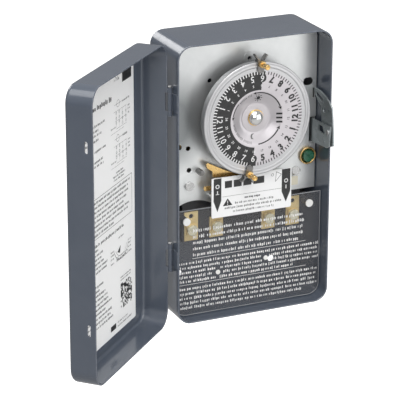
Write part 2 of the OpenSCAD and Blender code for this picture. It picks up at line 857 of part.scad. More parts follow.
module switch_slider() {
    px = trip_x + crank_r * sin(trip_swing / 2);
    color("dimgray") difference() {
        block([trip_x - slider_half, slider_y, slider_z - slider_h / 2],
            [trip_x + slider_half, slider_y + slider_t, slider_z + slider_h / 2]);
        block([px - crank_pin_r - 0.1, slider_y - 1, slider_z - 2.4],
            [px + crank_pin_r + 0.1, slider_y + slider_t + 1, slider_z + 2.6]);
    }
}

function contact_places() = [trip_x - slider_half + 2, trip_x + slider_half - 12];

module moving_contacts() {
    color("peru") for (x = contact_places())
        block([x, slider_y + slider_t, slider_z - 3],
            [x + 10, slider_y + slider_t + contact_t + 1.2, slider_z + 3]);
}

module fixed_contacts() {
    color("peru") for (x = contact_places())
        block([x - contact_gap - 2, slider_y + slider_t + 0.4, cavity_bottom],
            [x - contact_gap, slider_y + slider_t + 4.4, slider_z + 3]);
}

function term_places() = [-outer_term_x, -inner_term_x, inner_term_x, outer_term_x];

module switch_base() {
    color("#26262a") difference() {
        block([-base_half_w, base_y, base_bottom_z], [base_half_w, base_rear, base_top_z]);
        block([trip_x - cavity_half, slider_y - 0.2, slider_z - slider_h / 2 - 0.15],
            [trip_x + cavity_half, slider_y + slider_t + 0.2, slider_z + slider_h / 2 + 0.15]);
        block([trip_x - cavity_half, slider_y + slider_t + 0.1, cavity_bottom],
            [trip_x + cavity_half, base_rear + 1, cavity_top]);
        rod(trip_x, trip_z, trip_shaft_r + 2, base_y - 1, base_y + 1.8);
        rod(trip_x, trip_z, trip_shaft_r + 0.4, base_y, base_rear);
        for (s = [-1, 1]) rod(s * block_screw_x, block_screw_z, 1.8, base_y - 1, base_y + 8);
        for (x = term_places()) rod(x, term_z, term_screw_r, base_y - 1, base_y + 7);
    }
    color("#26262a") for (s = [-1, 1])
        block([s * (base_half_w + 2.6) - 2.6, base_y, insulator_post_z - 4.5],
            [s * (base_half_w + 2.6) + 2.6, base_y + 6, insulator_post_z + 4.5]);
}

module switch_cover() {
    color("#3a3a40") block([-base_half_w + 4, base_rear, cavity_bottom - 3],
        [base_half_w - 4, base_rear + 1.2, base_top_z]);
}

module switch_tab() {
    color("#cfc8b4") {
        block([38.4, plate_back - 5, -16.6], [44.6, plate_back - 3.8, -9.8]);
        block([38.4, plate_back - 3.8 - eps, -16.6], [39.6, plate_back, -11.4]);
    }
}

module terminal_plates() {
    color("goldenrod") for (x = term_places()) {
        top = abs(x) > inner_term_x ? plate_bottom_z - 5.6 : term_z + 7.6;
        difference() {
            block([x - term_w / 2, term_y, term_z - 9], [x + term_w / 2, base_y, top]);
            rod(x, term_z, term_screw_r, term_y - 1, base_y + 1);
            if (abs(x) > inner_term_x) rod(x, top - 3.4, 1.8, term_y - 1, base_y + 1);
        }
    }
}

module terminal_clamps() {
    color("khaki") for (x = term_places()) difference() {
        block([x - clamp_w / 2, term_y - clamp_t, term_z - clamp_w / 2],
            [x + clamp_w / 2, term_y, term_z + clamp_w / 2]);
        rod(x, term_z, term_screw_r, term_y - 2, term_y + 1);
    }
}

module terminal_screws() {
    color("gold") for (x = term_places())
        screw(x, term_z, term_screw_r, 4.1, head_t, term_y - clamp_t, 9);
}

module label_plate() {
    color("white") deep(label_back, label_back + label_t)
        at(label_x, label_z) rounded(label_w, label_h, 1.4);
}

module label_posts() {
    color("darkgray") for (s = [-1, 1])
        rod(label_x + s * label_post_x, label_post_z, label_post_r,
            label_back + label_t, plate_back);
}

module insulator_sheet() {
    h = insulator_top_z - insulator_bottom;
    color("#606068c0") difference() {
        deep(sheet_back, sheet_back + insulator_t) intersection() {
            rounded(2 * insulator_half, -2 * insulator_bottom, inner_r - 0.8);
            at(0, insulator_bottom + h / 2) square([2 * insulator_half, h], center = true);
        }
        for (s = [-1, 1]) rod(s * insulator_post_x, insulator_post_z, 1.5,
            sheet_back - 1, sheet_back + 2);
    }
}

module insulator_posts() {
    color("#3a3a40") for (s = [-1, 1]) difference() {
        rod(s * insulator_post_x, insulator_post_z, insulator_post_r - 0.4,
            sheet_back + insulator_t, base_y);
        rod(s * insulator_post_x, insulator_post_z, 1.5, sheet_back, sheet_back + 8);
    }
}

module insulator_pins() {
    color("white") for (s = [-1, 1]) {
        rod(s * insulator_post_x, insulator_post_z, insulator_post_r,
            sheet_back - 1.2, sheet_back);
        rod(s * insulator_post_x, insulator_post_z, 1.5, sheet_back, sheet_back + 6);
    }
}

module insulator_buttons() {
    color("white") for (p = [[-25.4, -75.8], [15, -70.4]])
        rod(p[0], p[1], 1.8, sheet_back - 0.6, sheet_back);
}

module door_knuckles(z) {
    for (s = [-1, 1]) translate([0, -case_d, z + s * (hinge_h - end_knuckle_h) / 2])
        difference() {
            union() {
                translate([hinge_x, hinge_back, 0])
                    cylinder(h = end_knuckle_h, r = knuckle_r, center = true);
                translate([-door_w / 2, door_rim - 1, -end_knuckle_h / 2])
                    cube([sheet_t, hinge_back - door_rim + 1, end_knuckle_h]);
            }
            translate([hinge_x, hinge_back, 0])
                cylinder(h = hinge_h, r = pin_r + shaft_play, center = true);
        }
}

module door_shell() {
    floor_y = door_face + sheet_t;
    color("slategray") opened() {
        difference() {
            deep(door_face, door_rim) rounded(door_w, door_h, door_r);
            deep(floor_y, door_rim + 1)
                rounded(door_w - 2 * sheet_t, door_h - 2 * sheet_t, door_r - sheet_t);
            for (z = [snap_upper_z, snap_lower_z])
                across(door_w / 2 - sheet_t - 1, door_w / 2 + 1)
                    slot([snap_y, z - (snap_slot_l - snap_slot_w) / 2],
                        [snap_y, z + (snap_slot_l - snap_slot_w) / 2], snap_slot_w / 2);
            for (z = [hinge_upper_z, hinge_lower_z])
                translate([-door_w / 2 - 1, door_rim - 1.6 - case_d, z - hinge_h / 2 + end_knuckle_h])
                    cube([sheet_t + 2, 3, hinge_h - 2 * end_knuckle_h]);
        }
        for (z = [hinge_upper_z, hinge_lower_z]) door_knuckles(z);
    }
}

module door_paper() {
    floor_y = door_face + sheet_t;
    color("white") opened() deep(floor_y, floor_y + 0.25)
        at(door_w / 2 - sheet_t - 8 - paper_w / 2, 0) square([paper_w, paper_h], center = true);
}

case_shell();
knockout_slugs();
case_hinge_leaves();
hinge_pins();
hasp_bracket();
hasp_rivets();
latch_lever();
latch_rivet();
mechanism_plate();
ground_washer();
ground_screw();
block_screws();
dial_bushing();
dial_arbor();
dial_gear();
dial_tray();
dial_face();
dial_hub_disc();
dial_washer();
dial_knob();
on_tripper();
on_thumbscrew();
off_tripper();
off_thumbscrew();
idler_stud();
idler_gear();
gear_plate();
gear_plate_posts();
gear_plate_screws();
motor_can();
motor_coil();
motor_rotor();
motor_pinion();
motor_leads();
trip_bushing();
trip_shaft();
trip_lever();
lever_stop();
switch_crank();
switch_slider();
moving_contacts();
fixed_contacts();
switch_base();
switch_cover();
switch_tab();
terminal_plates();
terminal_clamps();
terminal_screws();
label_plate();
label_posts();
insulator_sheet();
insulator_posts();
insulator_pins();
insulator_buttons();
door_shell();
door_paper();
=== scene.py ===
import bmesh
import bpy
import json
import math
import random
from mathutils import Matrix, Vector


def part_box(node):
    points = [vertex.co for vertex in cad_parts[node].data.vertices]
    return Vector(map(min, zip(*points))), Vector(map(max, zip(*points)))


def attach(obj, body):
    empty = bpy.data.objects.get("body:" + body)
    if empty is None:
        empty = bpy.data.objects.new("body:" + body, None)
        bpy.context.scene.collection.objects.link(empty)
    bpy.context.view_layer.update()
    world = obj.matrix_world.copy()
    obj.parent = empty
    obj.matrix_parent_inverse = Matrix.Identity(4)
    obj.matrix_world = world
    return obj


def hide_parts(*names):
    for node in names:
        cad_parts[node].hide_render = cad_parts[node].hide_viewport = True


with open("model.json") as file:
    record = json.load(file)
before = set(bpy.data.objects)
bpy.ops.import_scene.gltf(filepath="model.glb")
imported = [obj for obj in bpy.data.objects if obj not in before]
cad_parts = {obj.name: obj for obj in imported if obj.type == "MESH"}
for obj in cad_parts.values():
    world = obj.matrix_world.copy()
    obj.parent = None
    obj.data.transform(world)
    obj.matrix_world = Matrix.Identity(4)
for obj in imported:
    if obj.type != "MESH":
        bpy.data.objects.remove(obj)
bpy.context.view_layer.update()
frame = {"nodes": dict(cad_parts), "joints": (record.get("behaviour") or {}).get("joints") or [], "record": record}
nodes = frame["nodes"]
joints = {joint["name"]: joint for joint in frame["joints"]}
mm = 0.001
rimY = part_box("case_shell")[0].y  # the case's front rim; depths are counted back from it
print("frame loaded")


def at(x, depth, z):
    return Vector((x * mm, rimY + depth * mm, z * mm))


def addObject(name, data):
    holder = bpy.data.objects.new(name, data)
    bpy.context.scene.collection.objects.link(holder)
    return holder


def sizesOf(node):  # lowest and highest x, depth and z in millimetres
    return [[(value - start) / mm for value, start in zip(corner, (0, rimY, 0))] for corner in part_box(node)]


def middleOf(node):
    low, high = sizesOf(node)
    return [(a + b) / 2 for a, b in zip(low, high)]


def newGroup(name, inputs, outputs):
    group = bpy.data.node_groups.new(name, "ShaderNodeTree")
    for label, kind, value in inputs:
        socket = group.interface.new_socket(name=label, in_out="INPUT", socket_type=kind)
        socket.default_value = value
    for label in outputs:
        group.interface.new_socket(name=label, in_out="OUTPUT", socket_type="NodeSocketFloat")
    return group, group.nodes.new("NodeGroupInput"), group.nodes.new("NodeGroupOutput")


def feed(tree, socket, value):  # an output is linked, anything else is set
    if isinstance(value, bpy.types.NodeSocket):
        tree.links.new(value, socket)
    elif value is not None:
        socket.default_value = value


def calc(tree, operation, a, b=None, clamp=False):
    node = tree.nodes.new("ShaderNodeMath")
    node.operation, node.use_clamp = operation, clamp
    for socket, value in zip(node.inputs, (a, b)):
        feed(tree, socket, value)
    return node.outputs[0]


def remap(tree, value, low, high, toLow=0.0, toHigh=1.0):
    node = tree.nodes.new("ShaderNodeMapRange")
    for label, given in (("Value", value), ("From Min", low), ("From Max", high), ("To Min", toLow),
                         ("To Max", toHigh)):
        feed(tree, node.inputs[label], given)
    return node.outputs[0]


def vectorMath(tree, operation, a, b=None):
    node = tree.nodes.new("ShaderNodeVectorMath")
    node.operation = operation
    for socket, value in zip(node.inputs, (a, b)):
        feed(tree, socket, value)
    return node.outputs["Value" if operation in ("DOT_PRODUCT", "LENGTH") else "Vector"]


def addNoise(tree, place, scale, **extra):
    noise = tree.nodes.new("ShaderNodeTexNoise")
    tree.links.new(place, noise.inputs["Vector"])
    tree.links.new(scale, noise.inputs["Scale"])
    for label, value in extra.items():
        noise.inputs[label].default_value = value
    return noise.outputs[0]


def objectPlace(tree):
    return tree.nodes.new("ShaderNodeTexCoord").outputs["Object"]


def makeGrainGroup():  # fine texture of a surface, stretched along a rolling or brushing direction
    group, given, result = newGroup("surfaceGrain", [
        ("Scale", "NodeSocketFloat", 900.0), ("Stretch", "NodeSocketVector", (1, 1, 1))], ["Height", "Shade"])
    stretched = vectorMath(group, "MULTIPLY", objectPlace(group), given.outputs["Stretch"])
    for label, factor, detail in (("Height", 1.0, 4.0), ("Shade", 0.31, 2.0)):
        scale = calc(group, "MULTIPLY", given.outputs["Scale"], factor)
        group.links.new(addNoise(group, stretched, scale, Detail=detail), result.inputs[label])
    return group


def makeCloudGroup():  # slow cloudy patches
    group, given, result = newGroup("cloudyPatches", [
        ("Scale", "NodeSocketFloat", 30.0), ("Softness", "NodeSocketFloat", 0.2)], ["Mask"])
    noise = addNoise(group, objectPlace(group), given.outputs["Scale"], Detail=3.0, Distortion=0.6)
    low = calc(group, "SUBTRACT", 0.5, given.outputs["Softness"])
    high = calc(group, "ADD", 0.5, given.outputs["Softness"])
    group.links.new(remap(group, noise, low, high), result.inputs["Mask"])
    return group


def makeEdgeGroup():  # rubbed edges: where a rounded copy of the normal leaves the real one
    group, given, result = newGroup("rubbedEdges", [
        ("Radius", "NodeSocketFloat", 0.0006), ("Amount", "NodeSocketFloat", 0.5),
        ("Patch Scale", "NodeSocketFloat", 260.0)], ["Mask"])
    rounded = group.nodes.new("ShaderNodeBevel")
    rounded.samples = 4
    group.links.new(given.outputs["Radius"], rounded.inputs["Radius"])
    shape = group.nodes.new("ShaderNodeNewGeometry")
    match = vectorMath(group, "DOT_PRODUCT", rounded.outputs[0], shape.outputs["Normal"])
    bend = calc(group, "MULTIPLY", calc(group, "SUBTRACT", 1.0, match), 7.0, clamp=True)
    noise = addNoise(group, objectPlace(group), given.outputs["Patch Scale"])
    patchy = calc(group, "MULTIPLY", bend, remap(group, noise, 0.3, 0.62))
    group.links.new(calc(group, "MULTIPLY", patchy, given.outputs["Amount"], clamp=True), result.inputs["Mask"])
    return group


def makeDustGroup():  # thin dust that settles on faces that look up
    group, given, result = newGroup("settledDust", [
        ("Amount", "NodeSocketFloat", 0.2), ("Scale", "NodeSocketFloat", 420.0)], ["Mask"])
    shape = group.nodes.new("ShaderNodeNewGeometry")
    parts = group.nodes.new("ShaderNodeSeparateXYZ")
    group.links.new(shape.outputs["Normal"], parts.inputs[0])
    noise = addNoise(group, objectPlace(group), given.outputs["Scale"], Detail=6.0)
    film = calc(group, "MULTIPLY", remap(group, parts.outputs[2], 0.1, 1.0),
                remap(group, noise, 0.35, 0.7))
    group.links.new(calc(group, "MULTIPLY", film, given.outputs["Amount"], clamp=True), result.inputs["Mask"])
    return group


groups = {"grain": makeGrainGroup(), "cloud": makeCloudGroup(), "edge": makeEdgeGroup(), "dust": makeDustGroup()}


def useGroup(tree, name, **values):
    node = tree.nodes.new("ShaderNodeGroup")
    node.node_tree = groups[name]
    for label, value in values.items():
        node.inputs[label.replace("_", " ")].default_value = value
    return node


def blendColour(tree, mask, under, over):
    node = tree.nodes.new("ShaderNodeMix")
    node.data_type = "RGBA"
    tree.links.new(mask, node.inputs[0])
    for socket, colour in zip(node.inputs[6:8], (under, over)):
        feed(tree, socket, (*colour, 1) if isinstance(colour, tuple) else colour)
    return node.outputs[2]


# what every finish has unless it says otherwise; scales are features per metre, heights are metres
plainFinish = {"metallic": 0.0, "cloudScale": 40.0, "cloudSoftness": 0.25, "grainScale": 1500.0,
               "stretch": (1, 1, 1), "rough": (0.35, 0.5), "bump": 0.000004, "wear": None, "wearAmount": 0.5,
               "wearRadius": 0.0005, "dust": 0.0, "dustColour": (0.62, 0.62, 0.6), "coat": 0.0,
               "coatRough": 0.1, "alpha": 1.0, "stain": None, "stainDepth": 22, "stainShape": (1.9, 1, 1)}


# painted shade and dark reflection: darkens the colour round a given place, fading out over the given reach
def stainMask(tree, look):
    (x, z), reach = look["stainAt"], look["stainReach"] * mm
    away = vectorMath(tree, "SUBTRACT", objectPlace(tree), at(x, look["stainDepth"], z))
    size = vectorMath(tree, "LENGTH", vectorMath(tree, "MULTIPLY", away, look["stainShape"]))
    return remap(tree, size, reach, reach * 0.35, 0.0, 0.85)


def makeFinish(name, **changes):
    look = {**plainFinish, **changes}
    finish = bpy.data.materials.new(name)
    finish.use_nodes = True
    tree = finish.node_tree
    shader = tree.nodes["Principled BSDF"]
    cloud = useGroup(tree, "cloud", Scale=look["cloudScale"], Softness=look["cloudSoftness"])
    grain = useGroup(tree, "grain", Scale=look["grainScale"], Stretch=look["stretch"])
    colour = blendColour(tree, cloud.outputs["Mask"], look["base"], look["second"])
    if look["stain"]:  # painted shade and dark reflection: one darker area, fading out round a place on the face
        colour = blendColour(tree, stainMask(tree, look), colour, look["stain"])
    if look["wear"]:
        edge = useGroup(tree, "edge", Radius=look["wearRadius"], Amount=look["wearAmount"])
        colour = blendColour(tree, edge.outputs["Mask"], colour, look["wear"])
    if look["dust"]:
        dust = useGroup(tree, "dust", Amount=look["dust"])
        colour = blendColour(tree, dust.outputs["Mask"], colour, look["dustColour"])
    tree.links.new(colour, shader.inputs["Base Color"])
    tree.links.new(remap(tree, grain.outputs["Shade"], 0.3, 0.7, *look["rough"]), shader.inputs["Roughness"])
    bump = tree.nodes.new("ShaderNodeBump")
    bump.inputs["Distance"].default_value = look["bump"]
    tree.links.new(grain.outputs["Height"], bump.inputs["Height"])
    tree.links.new(bump.outputs[0], shader.inputs["Normal"])
    for label, key in (("Metallic", "metallic"), ("Coat Weight", "coat"), ("Coat Roughness", "coatRough"),
                       ("Alpha", "alpha")):
        shader.inputs[label].default_value = look[key]
    return finish


finishes = {
    "case_paint": makeFinish(
        "slateEnamel", base=(0.082, 0.098, 0.128), second=(0.094, 0.11, 0.14), rough=(0.2, 0.26),
        grainScale=500.0, bump=0.0000016, wear=(0.34, 0.36, 0.4), wearAmount=0.5, wearRadius=0.0006,
        coat=0.5, coatRough=0.1),
    # the darker patch left of the dial on the zinc sheet is painted shade and dark reflection from the dial
    "zinc_plate": makeFinish(
        "zincSheet", base=(0.8, 0.815, 0.81), second=(0.66, 0.675, 0.675), metallic=0.8, cloudScale=30.0,
        cloudSoftness=0.22, rough=(0.3, 0.42), grainScale=900.0, stretch=(1, 1, 3.5), bump=0.000008,
        wear=(0.9, 0.9, 0.89), wearAmount=0.6, stain=(0.2, 0.215, 0.22), stainAt=(-53, 44), stainReach=42),
    "hasp_zinc": makeFinish(
        "haspZinc", base=(0.4, 0.44, 0.45), second=(0.3, 0.335, 0.345), metallic=0.85, cloudScale=60.0,
        rough=(0.26, 0.38), grainScale=1200.0, wear=(0.86, 0.88, 0.88), wearAmount=0.8, wearRadius=0.0004),
    "terminal_brass": makeFinish(
        "terminalBrass", base=(0.95, 0.76, 0.38), second=(0.9, 0.68, 0.3), metallic=0.45, cloudScale=40.0,
        rough=(0.28, 0.36), grainScale=900.0, bump=0.000001),
    "screw_brass": makeFinish(
        "screwBrass", base=(1.0, 0.97, 0.78), second=(0.97, 0.92, 0.66), metallic=0.4, cloudScale=60.0,
        rough=(0.2, 0.3), grainScale=900.0, bump=0.000001, wear=(1.0, 1.0, 0.92), wearRadius=0.0004),
    "hub_silver": makeFinish(
        "hubSilver", base=(0.6, 0.57, 0.585), second=(0.54, 0.515, 0.53), metallic=0.8, rough=(0.34, 0.42),
        grainScale=1500.0, bump=0.000001),
    "steel": makeFinish(
        "platedSteel", base=(0.6, 0.6, 0.59), second=(0.46, 0.46, 0.46), metallic=1.0, rough=(0.16, 0.3),
        grainScale=2200.0, wear=(0.82, 0.82, 0.8), wearRadius=0.0003),
    "brass": makeFinish(
        "brass", base=(0.8, 0.56, 0.24), second=(0.7, 0.46, 0.18), metallic=1.0, rough=(0.2, 0.36),
        cloudScale=160.0, grainScale=2600.0, wear=(0.95, 0.76, 0.42), wearRadius=0.0003),
    "copper": makeFinish(
        "copper", base=(0.72, 0.33, 0.17), second=(0.6, 0.26, 0.13), metallic=1.0, rough=(0.25, 0.4),
        grainScale=2600.0, stretch=(1, 8, 1)),
    "knob_chrome": makeFinish(
        "brightChrome", base=(0.86, 0.86, 0.85), second=(0.78, 0.78, 0.77), metallic=1.0,
        rough=(0.1, 0.17), grainScale=2400.0, bump=0.000006),
    "dial_aluminium": makeFinish(
        "dialAluminium", base=(0.6, 0.6, 0.607), second=(0.53, 0.53, 0.54), metallic=0.75, rough=(0.3, 0.4),
        grainScale=1800.0, bump=0.000002, wear=(0.92, 0.92, 0.92), wearRadius=0.0003),
    "dial_print": makeFinish(
        "dialFaceSilver", base=(0.62, 0.59, 0.61), second=(0.57, 0.545, 0.565), metallic=0.8,
        rough=(0.3, 0.38), grainScale=2600.0, bump=0.000003, coat=0.15),
    "clip_steel": makeFinish(
        "darkClipSteel", base=(0.17, 0.17, 0.17), second=(0.26, 0.25, 0.24), metallic=0.9, rough=(0.28, 0.42),
        cloudScale=200.0, grainScale=2200.0, wear=(0.6, 0.6, 0.58), wearRadius=0.0003, wearAmount=0.7),
    "green_enamel": makeFinish(
        "greenEnamel", base=(0.016, 0.1, 0.052), second=(0.022, 0.13, 0.07), rough=(0.22, 0.34),
        wear=(0.3, 0.4, 0.33), wearRadius=0.0003, coat=0.4),
    "black_plastic": makeFinish(
        "blackMoulding", base=(0.012, 0.012, 0.014), second=(0.02, 0.02, 0.022), rough=(0.35, 0.5),
        grainScale=2000.0, wear=(0.09, 0.09, 0.09), wearRadius=0.0004, dust=0.1),
    "ivory_plastic": makeFinish(
        "ivoryMoulding", base=(0.66, 0.62, 0.5), second=(0.6, 0.56, 0.44), rough=(0.35, 0.5), dust=0.1),
    "lead_insulation": makeFinish(
        "leadInsulation", base=(0.3, 0.03, 0.025), second=(0.24, 0.025, 0.02), rough=(0.4, 0.55)),
    "label_print": makeFinish(
        "labelWhite", base=(0.9, 0.9, 0.9), second=(0.86, 0.86, 0.86), rough=(0.35, 0.48), bump=0.00001),
    "smoked_sheet": makeFinish(
        "smokedSheet", base=(0.22, 0.22, 0.23), second=(0.26, 0.26, 0.27), rough=(0.13, 0.24),
        grainScale=500.0, bump=0.000001, wear=(0.42, 0.43, 0.45), wearRadius=0.0006, wearAmount=0.7,
        alpha=0.14),
    "smoked_edge": makeFinish(
        "smokedEdge", base=(0.24, 0.25, 0.265), second=(0.34, 0.35, 0.37), rough=(0.15, 0.25), cloudScale=60.0,
        coat=0.4),
    "white_plastic": makeFinish(
        "whiteMoulding", base=(0.84, 0.84, 0.82), second=(0.78, 0.78, 0.76), rough=(0.3, 0.42)),
    "paper": makeFinish(
        "instructionPaper", base=(0.97, 0.97, 0.965), second=(0.95, 0.95, 0.945), rough=(0.6, 0.75),
        cloudScale=22.0, grainScale=3200.0, bump=0.000006),
}
inks = {
    "white": makeFinish("whiteInk", base=(0.84, 0.84, 0.84), second=(0.74, 0.74, 0.74), rough=(0.4, 0.55),
                        cloudScale=500.0, bump=0.000005),
    "black": makeFinish("blackInk", base=(0.014, 0.014, 0.015), second=(0.03, 0.03, 0.03), rough=(0.36, 0.5),
                        cloudScale=300.0, bump=0.000005),
    "grey": makeFinish("greyInk", base=(0.11, 0.11, 0.11), second=(0.17, 0.17, 0.17), rough=(0.4, 0.55),
                       cloudScale=500.0, bump=0.000005),
}
print("finishes made")


def outlineOf(left, right, bottom, top, radii, steps=8):  # radii: top right, top left, bottom left, bottom right
    def ring(inset):
        points = []
        corners = ((right, top, -1, -1), (left, top, 1, -1), (left, bottom, 1, 1), (right, bottom, -1, 1))
        for k, (x, z, sideX, sideZ) in enumerate(corners):
            r = max(radii[k] - inset, 0.02)
            midX, midZ = x + sideX * (inset + r), z + sideZ * (inset + r)
            for i in range(steps + 1):
                turn = math.radians(90 * (k + i / steps))
                points.append((midX + r * math.cos(turn), midZ + r * math.sin(turn)))
        return points
    return ring


def skin(bm, loops, closed=False):  # faces between loops of points, with end faces unless the loops join up
    for near, far in zip(loops, loops[1:] + loops[:1] if closed else loops[1:]):
        for i in range(len(near)):
            k = (i + 1) % len(near)
            bm.faces.new((near[i], near[k], far[k], far[i]))
    if not closed:
        bm.faces.new(loops[0])
        bm.faces.new(loops[-1])


def sweep(bm, ring, profile, spot=at, closed=False):  # profile: (inset from the outline, depth)
    skin(bm, [[bm.verts.new(spot(x, depth, z)) for x, z in ring(inset)] for inset, depth in profile], closed)


def arc(midA, midB, radius, start, end, steps=5):  # points of a bend, angles in degrees
    return [(midA + radius * math.cos(math.radians(start + (end - start) * i / steps)),
             midB + radius * math.sin(math.radians(start + (end - start) * i / steps))) for i in range(steps + 1)]


def lathe(bm, midX, midZ, outline, steps=64, ridges=None, spot=at):
    # outline: closed loop of (radius, depth)
    # ridges: {place in the outline: (rise in radius, rise in depth)}, on every other step
    loops = []
    for n, (radius, depth) in enumerate(outline):
        if radius < 0.001:
            loops.append([bm.verts.new(spot(midX, depth, midZ))])
            continue
        loop = []
        for i in range(steps):
            rise, drop = ridges[n] if ridges and n in ridges and i % 2 else (0, 0)
            turn = 2 * math.pi * i / steps
            loop.append(bm.verts.new(spot(midX + (radius + rise) * math.sin(turn), depth + drop,
                                          midZ + (radius + rise) * math.cos(turn))))
        loops.append(loop)
    pairs = list(zip(loops, loops[1:])) + ([(loops[-1], loops[0])] if outline[0][0] >= 0.001 else [])
    for near, far in pairs:
        for i in range(steps):
            k = (i + 1) % steps
            if len(near) == 1 and len(far) == 1:
                break
            if len(near) == 1:
                bm.faces.new((near[0], far[k], far[i]))
            elif len(far) == 1:
                bm.faces.new((near[i], near[k], far[0]))
            else:
                bm.faces.new((near[i], near[k], far[k], far[i]))


def box(bm, low, high, spot=at):
    corners = [bm.verts.new(spot(x, y, z)) for x in (low[0], high[0]) for y in (low[1], high[1])
               for z in (low[2], high[2])]
    for face in ((0, 1, 3, 2), (4, 6, 7, 5), (0, 4, 5, 1), (2, 3, 7, 6), (0, 2, 6, 4), (1, 5, 7, 3)):
        bm.faces.new([corners[i] for i in face])


def tube(bm, place, axis, radius, bore, start, end, steps=28):  # a short pipe or rod along x, depth or z
    first, second = [i for i in range(3) if i != axis]
    loops = []
    for r, along in ((radius, start), (radius, end), (bore, end), (bore, start))[:4 if bore else 2]:
        loop = []
        for i in range(steps):
            turn = 2 * math.pi * i / steps
            point = list(place)
            point[axis] = along
            point[first] += r * math.cos(turn)
            point[second] += r * math.sin(turn)
            loop.append(bm.verts.new(at(*point)))
        loops.append(loop)
    skin(bm, loops, closed=bore > 0)


def pieceFrom(name, bm, finish, body, replaced=(), sharp=35, facing=None, cutter=None):
    if facing is None:
        bmesh.ops.recalc_face_normals(bm, faces=bm.faces)
    else:
        bm.normal_update()
        bmesh.ops.reverse_faces(bm, faces=[f for f in bm.faces if f.normal.dot(facing) < 0])
    mesh = bpy.data.meshes.new(name)
    bm.to_mesh(mesh)
    bm.free()
    piece = addObject(name, mesh)
    if cutter:
        bmesh.ops.recalc_face_normals(cutter, faces=cutter.faces)
        toolMesh = bpy.data.meshes.new(name + "Cutter")
        cutter.to_mesh(toolMesh)
        cutter.free()
        tool = addObject(name + "Cutter", toolMesh)
        cut = piece.modifiers.new("cutouts", "BOOLEAN")
        cut.operation, cut.solver, cut.object = "DIFFERENCE", "EXACT", tool
        whole = piece.evaluated_get(bpy.context.evaluated_depsgraph_get())
        piece.data = bpy.data.meshes.new_from_object(whole)
        piece.modifiers.clear()
        bpy.data.objects.remove(tool)
    piece.data.materials.clear()
    piece.data.materials.append(finish)
    piece.data.shade_smooth()
    piece.data.set_sharp_from_angle(angle=math.radians(sharp))
    if facing is None:
        piece.modifiers.new("evenShading", "WEIGHTED_NORMAL").keep_sharp = True
    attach(piece, body)
    if replaced:
        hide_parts(*replaced)
    return piece


caseSizes = {"width": 127, "sheet": 1.2, "corner": 11, "fold": 2.6, "rim": 0.3, "snapHeights": (70, -66),
             "snapDepth": 2.7, "snapReach": (0.6, 0.8, 2.9), "snapSunk": 0.1, "wallHole": 2.75, "wallHoleX": 40,
             "wallHoleZ": -90, "keyhole": 4.5, "keyholeZ": 88, "knockout": 11.1, "knockoutX": 30,
             "knockoutDepth": 32, "knockoutZ": -70}


def makeCase(s):
    low, high = sizesOf("case_shell")
    half, bottom, top, back = s["width"] / 2, low[2], high[2], high[1]
    wall, fold, rim = s["sheet"], s["fold"], s["rim"]
    inFold = fold - wall
    bm = bmesh.new()
    profile = [(wall + inFold - a, back - wall - inFold + b) for a, b in arc(0, 0, inFold, 90, 0)] + \
        [(wall, rim), (wall - rim, 0), (rim, 0), (0, rim)] + \
        [(fold - a, back - fold + b) for a, b in arc(0, 0, fold, 0, 90)]
    sweep(bm, outlineOf(-half, half, bottom, top, [s["corner"]] * 4), profile)
    cutter = bmesh.new()
    for side in (-1, 1):
        tube(cutter, [side * s["wallHoleX"], 0, s["wallHoleZ"]], 1, s["wallHole"], 0, back - 5, back + 5)
        tube(cutter, [side * s["knockoutX"], 0, s["knockoutZ"]], 1, s["knockout"], 0, back - 5, back + 5, 48)
        tube(cutter, [side * s["knockoutX"], s["knockoutDepth"], 0], 2, s["knockout"], 0,
             bottom - 4, bottom + 4, 48)
        tube(cutter, [0, s["knockoutDepth"], s["knockoutZ"]], 0, s["knockout"], 0,
             side * half - 4, side * half + 4, 48)
    hole, slotHalf, slotTop = s["keyhole"], s["wallHole"], s["keyholeZ"] + s["keyhole"] + s["wallHole"]
    lean = math.degrees(math.asin(slotHalf / hole))
    keyhole = arc(0, s["keyholeZ"], hole, 90 + lean, 450 - lean, 24) + arc(0, slotTop, slotHalf, 0, 180, 12)
    skin(cutter, [[cutter.verts.new(at(x, depth, z)) for x, z in keyhole] for depth in (back - 5, back + 5)])
    pieceFrom("caseBody", bm, finishes["case_paint"], "case", ["case_shell"], cutter=cutter)
    snaps = bmesh.new()
    for z in s["snapHeights"]:  # the two bumps that the door's slots snap over
        ball = bmesh.ops.create_uvsphere(snaps, u_segments=16, v_segments=10, radius=1)
        for vert in ball["verts"]:
            across, deep, tall = (reach * part for reach, part in zip(s["snapReach"], vert.co))
            vert.co = at(half - s["snapSunk"] + across, s["snapDepth"] + deep, z + tall)
    pieceFrom("caseSnapBumps", snaps, finishes["case_paint"], "case")


makeCase(caseSizes)

hinge = joints["door_hinge"]
hingePin = Vector(hinge["pos_m"])
swing = Matrix.Translation(hingePin) @ Matrix.Rotation(
    -math.radians(hinge["range_deg"][1]), 4, Vector(hinge["axis"])) @ Matrix.Translation(-hingePin)


def onDoor(x, depth, z):  # a place on the shut door, carried to where the open door stands
    return swing @ at(x, depth, z)


doorSizes = {"width": 131.2, "height": 223.2, "corner": 13.1, "sheet": 1.2, "outFold": 3.4, "inFold": 2.2,
             "face": -13.6, "rim": 8, "rimRound": 0.35, "slotLong": 9, "slotWide": 2.4, "slotDepth": 2.7,
             "slotHeights": (70, -66), "hingeHeights": (66, -57), "hingeLong": 22, "endKnuckle": 4,
             "knuckle": 1.85, "bore": 1.05, "hingeBack": 9.8, "notch": 1.6}


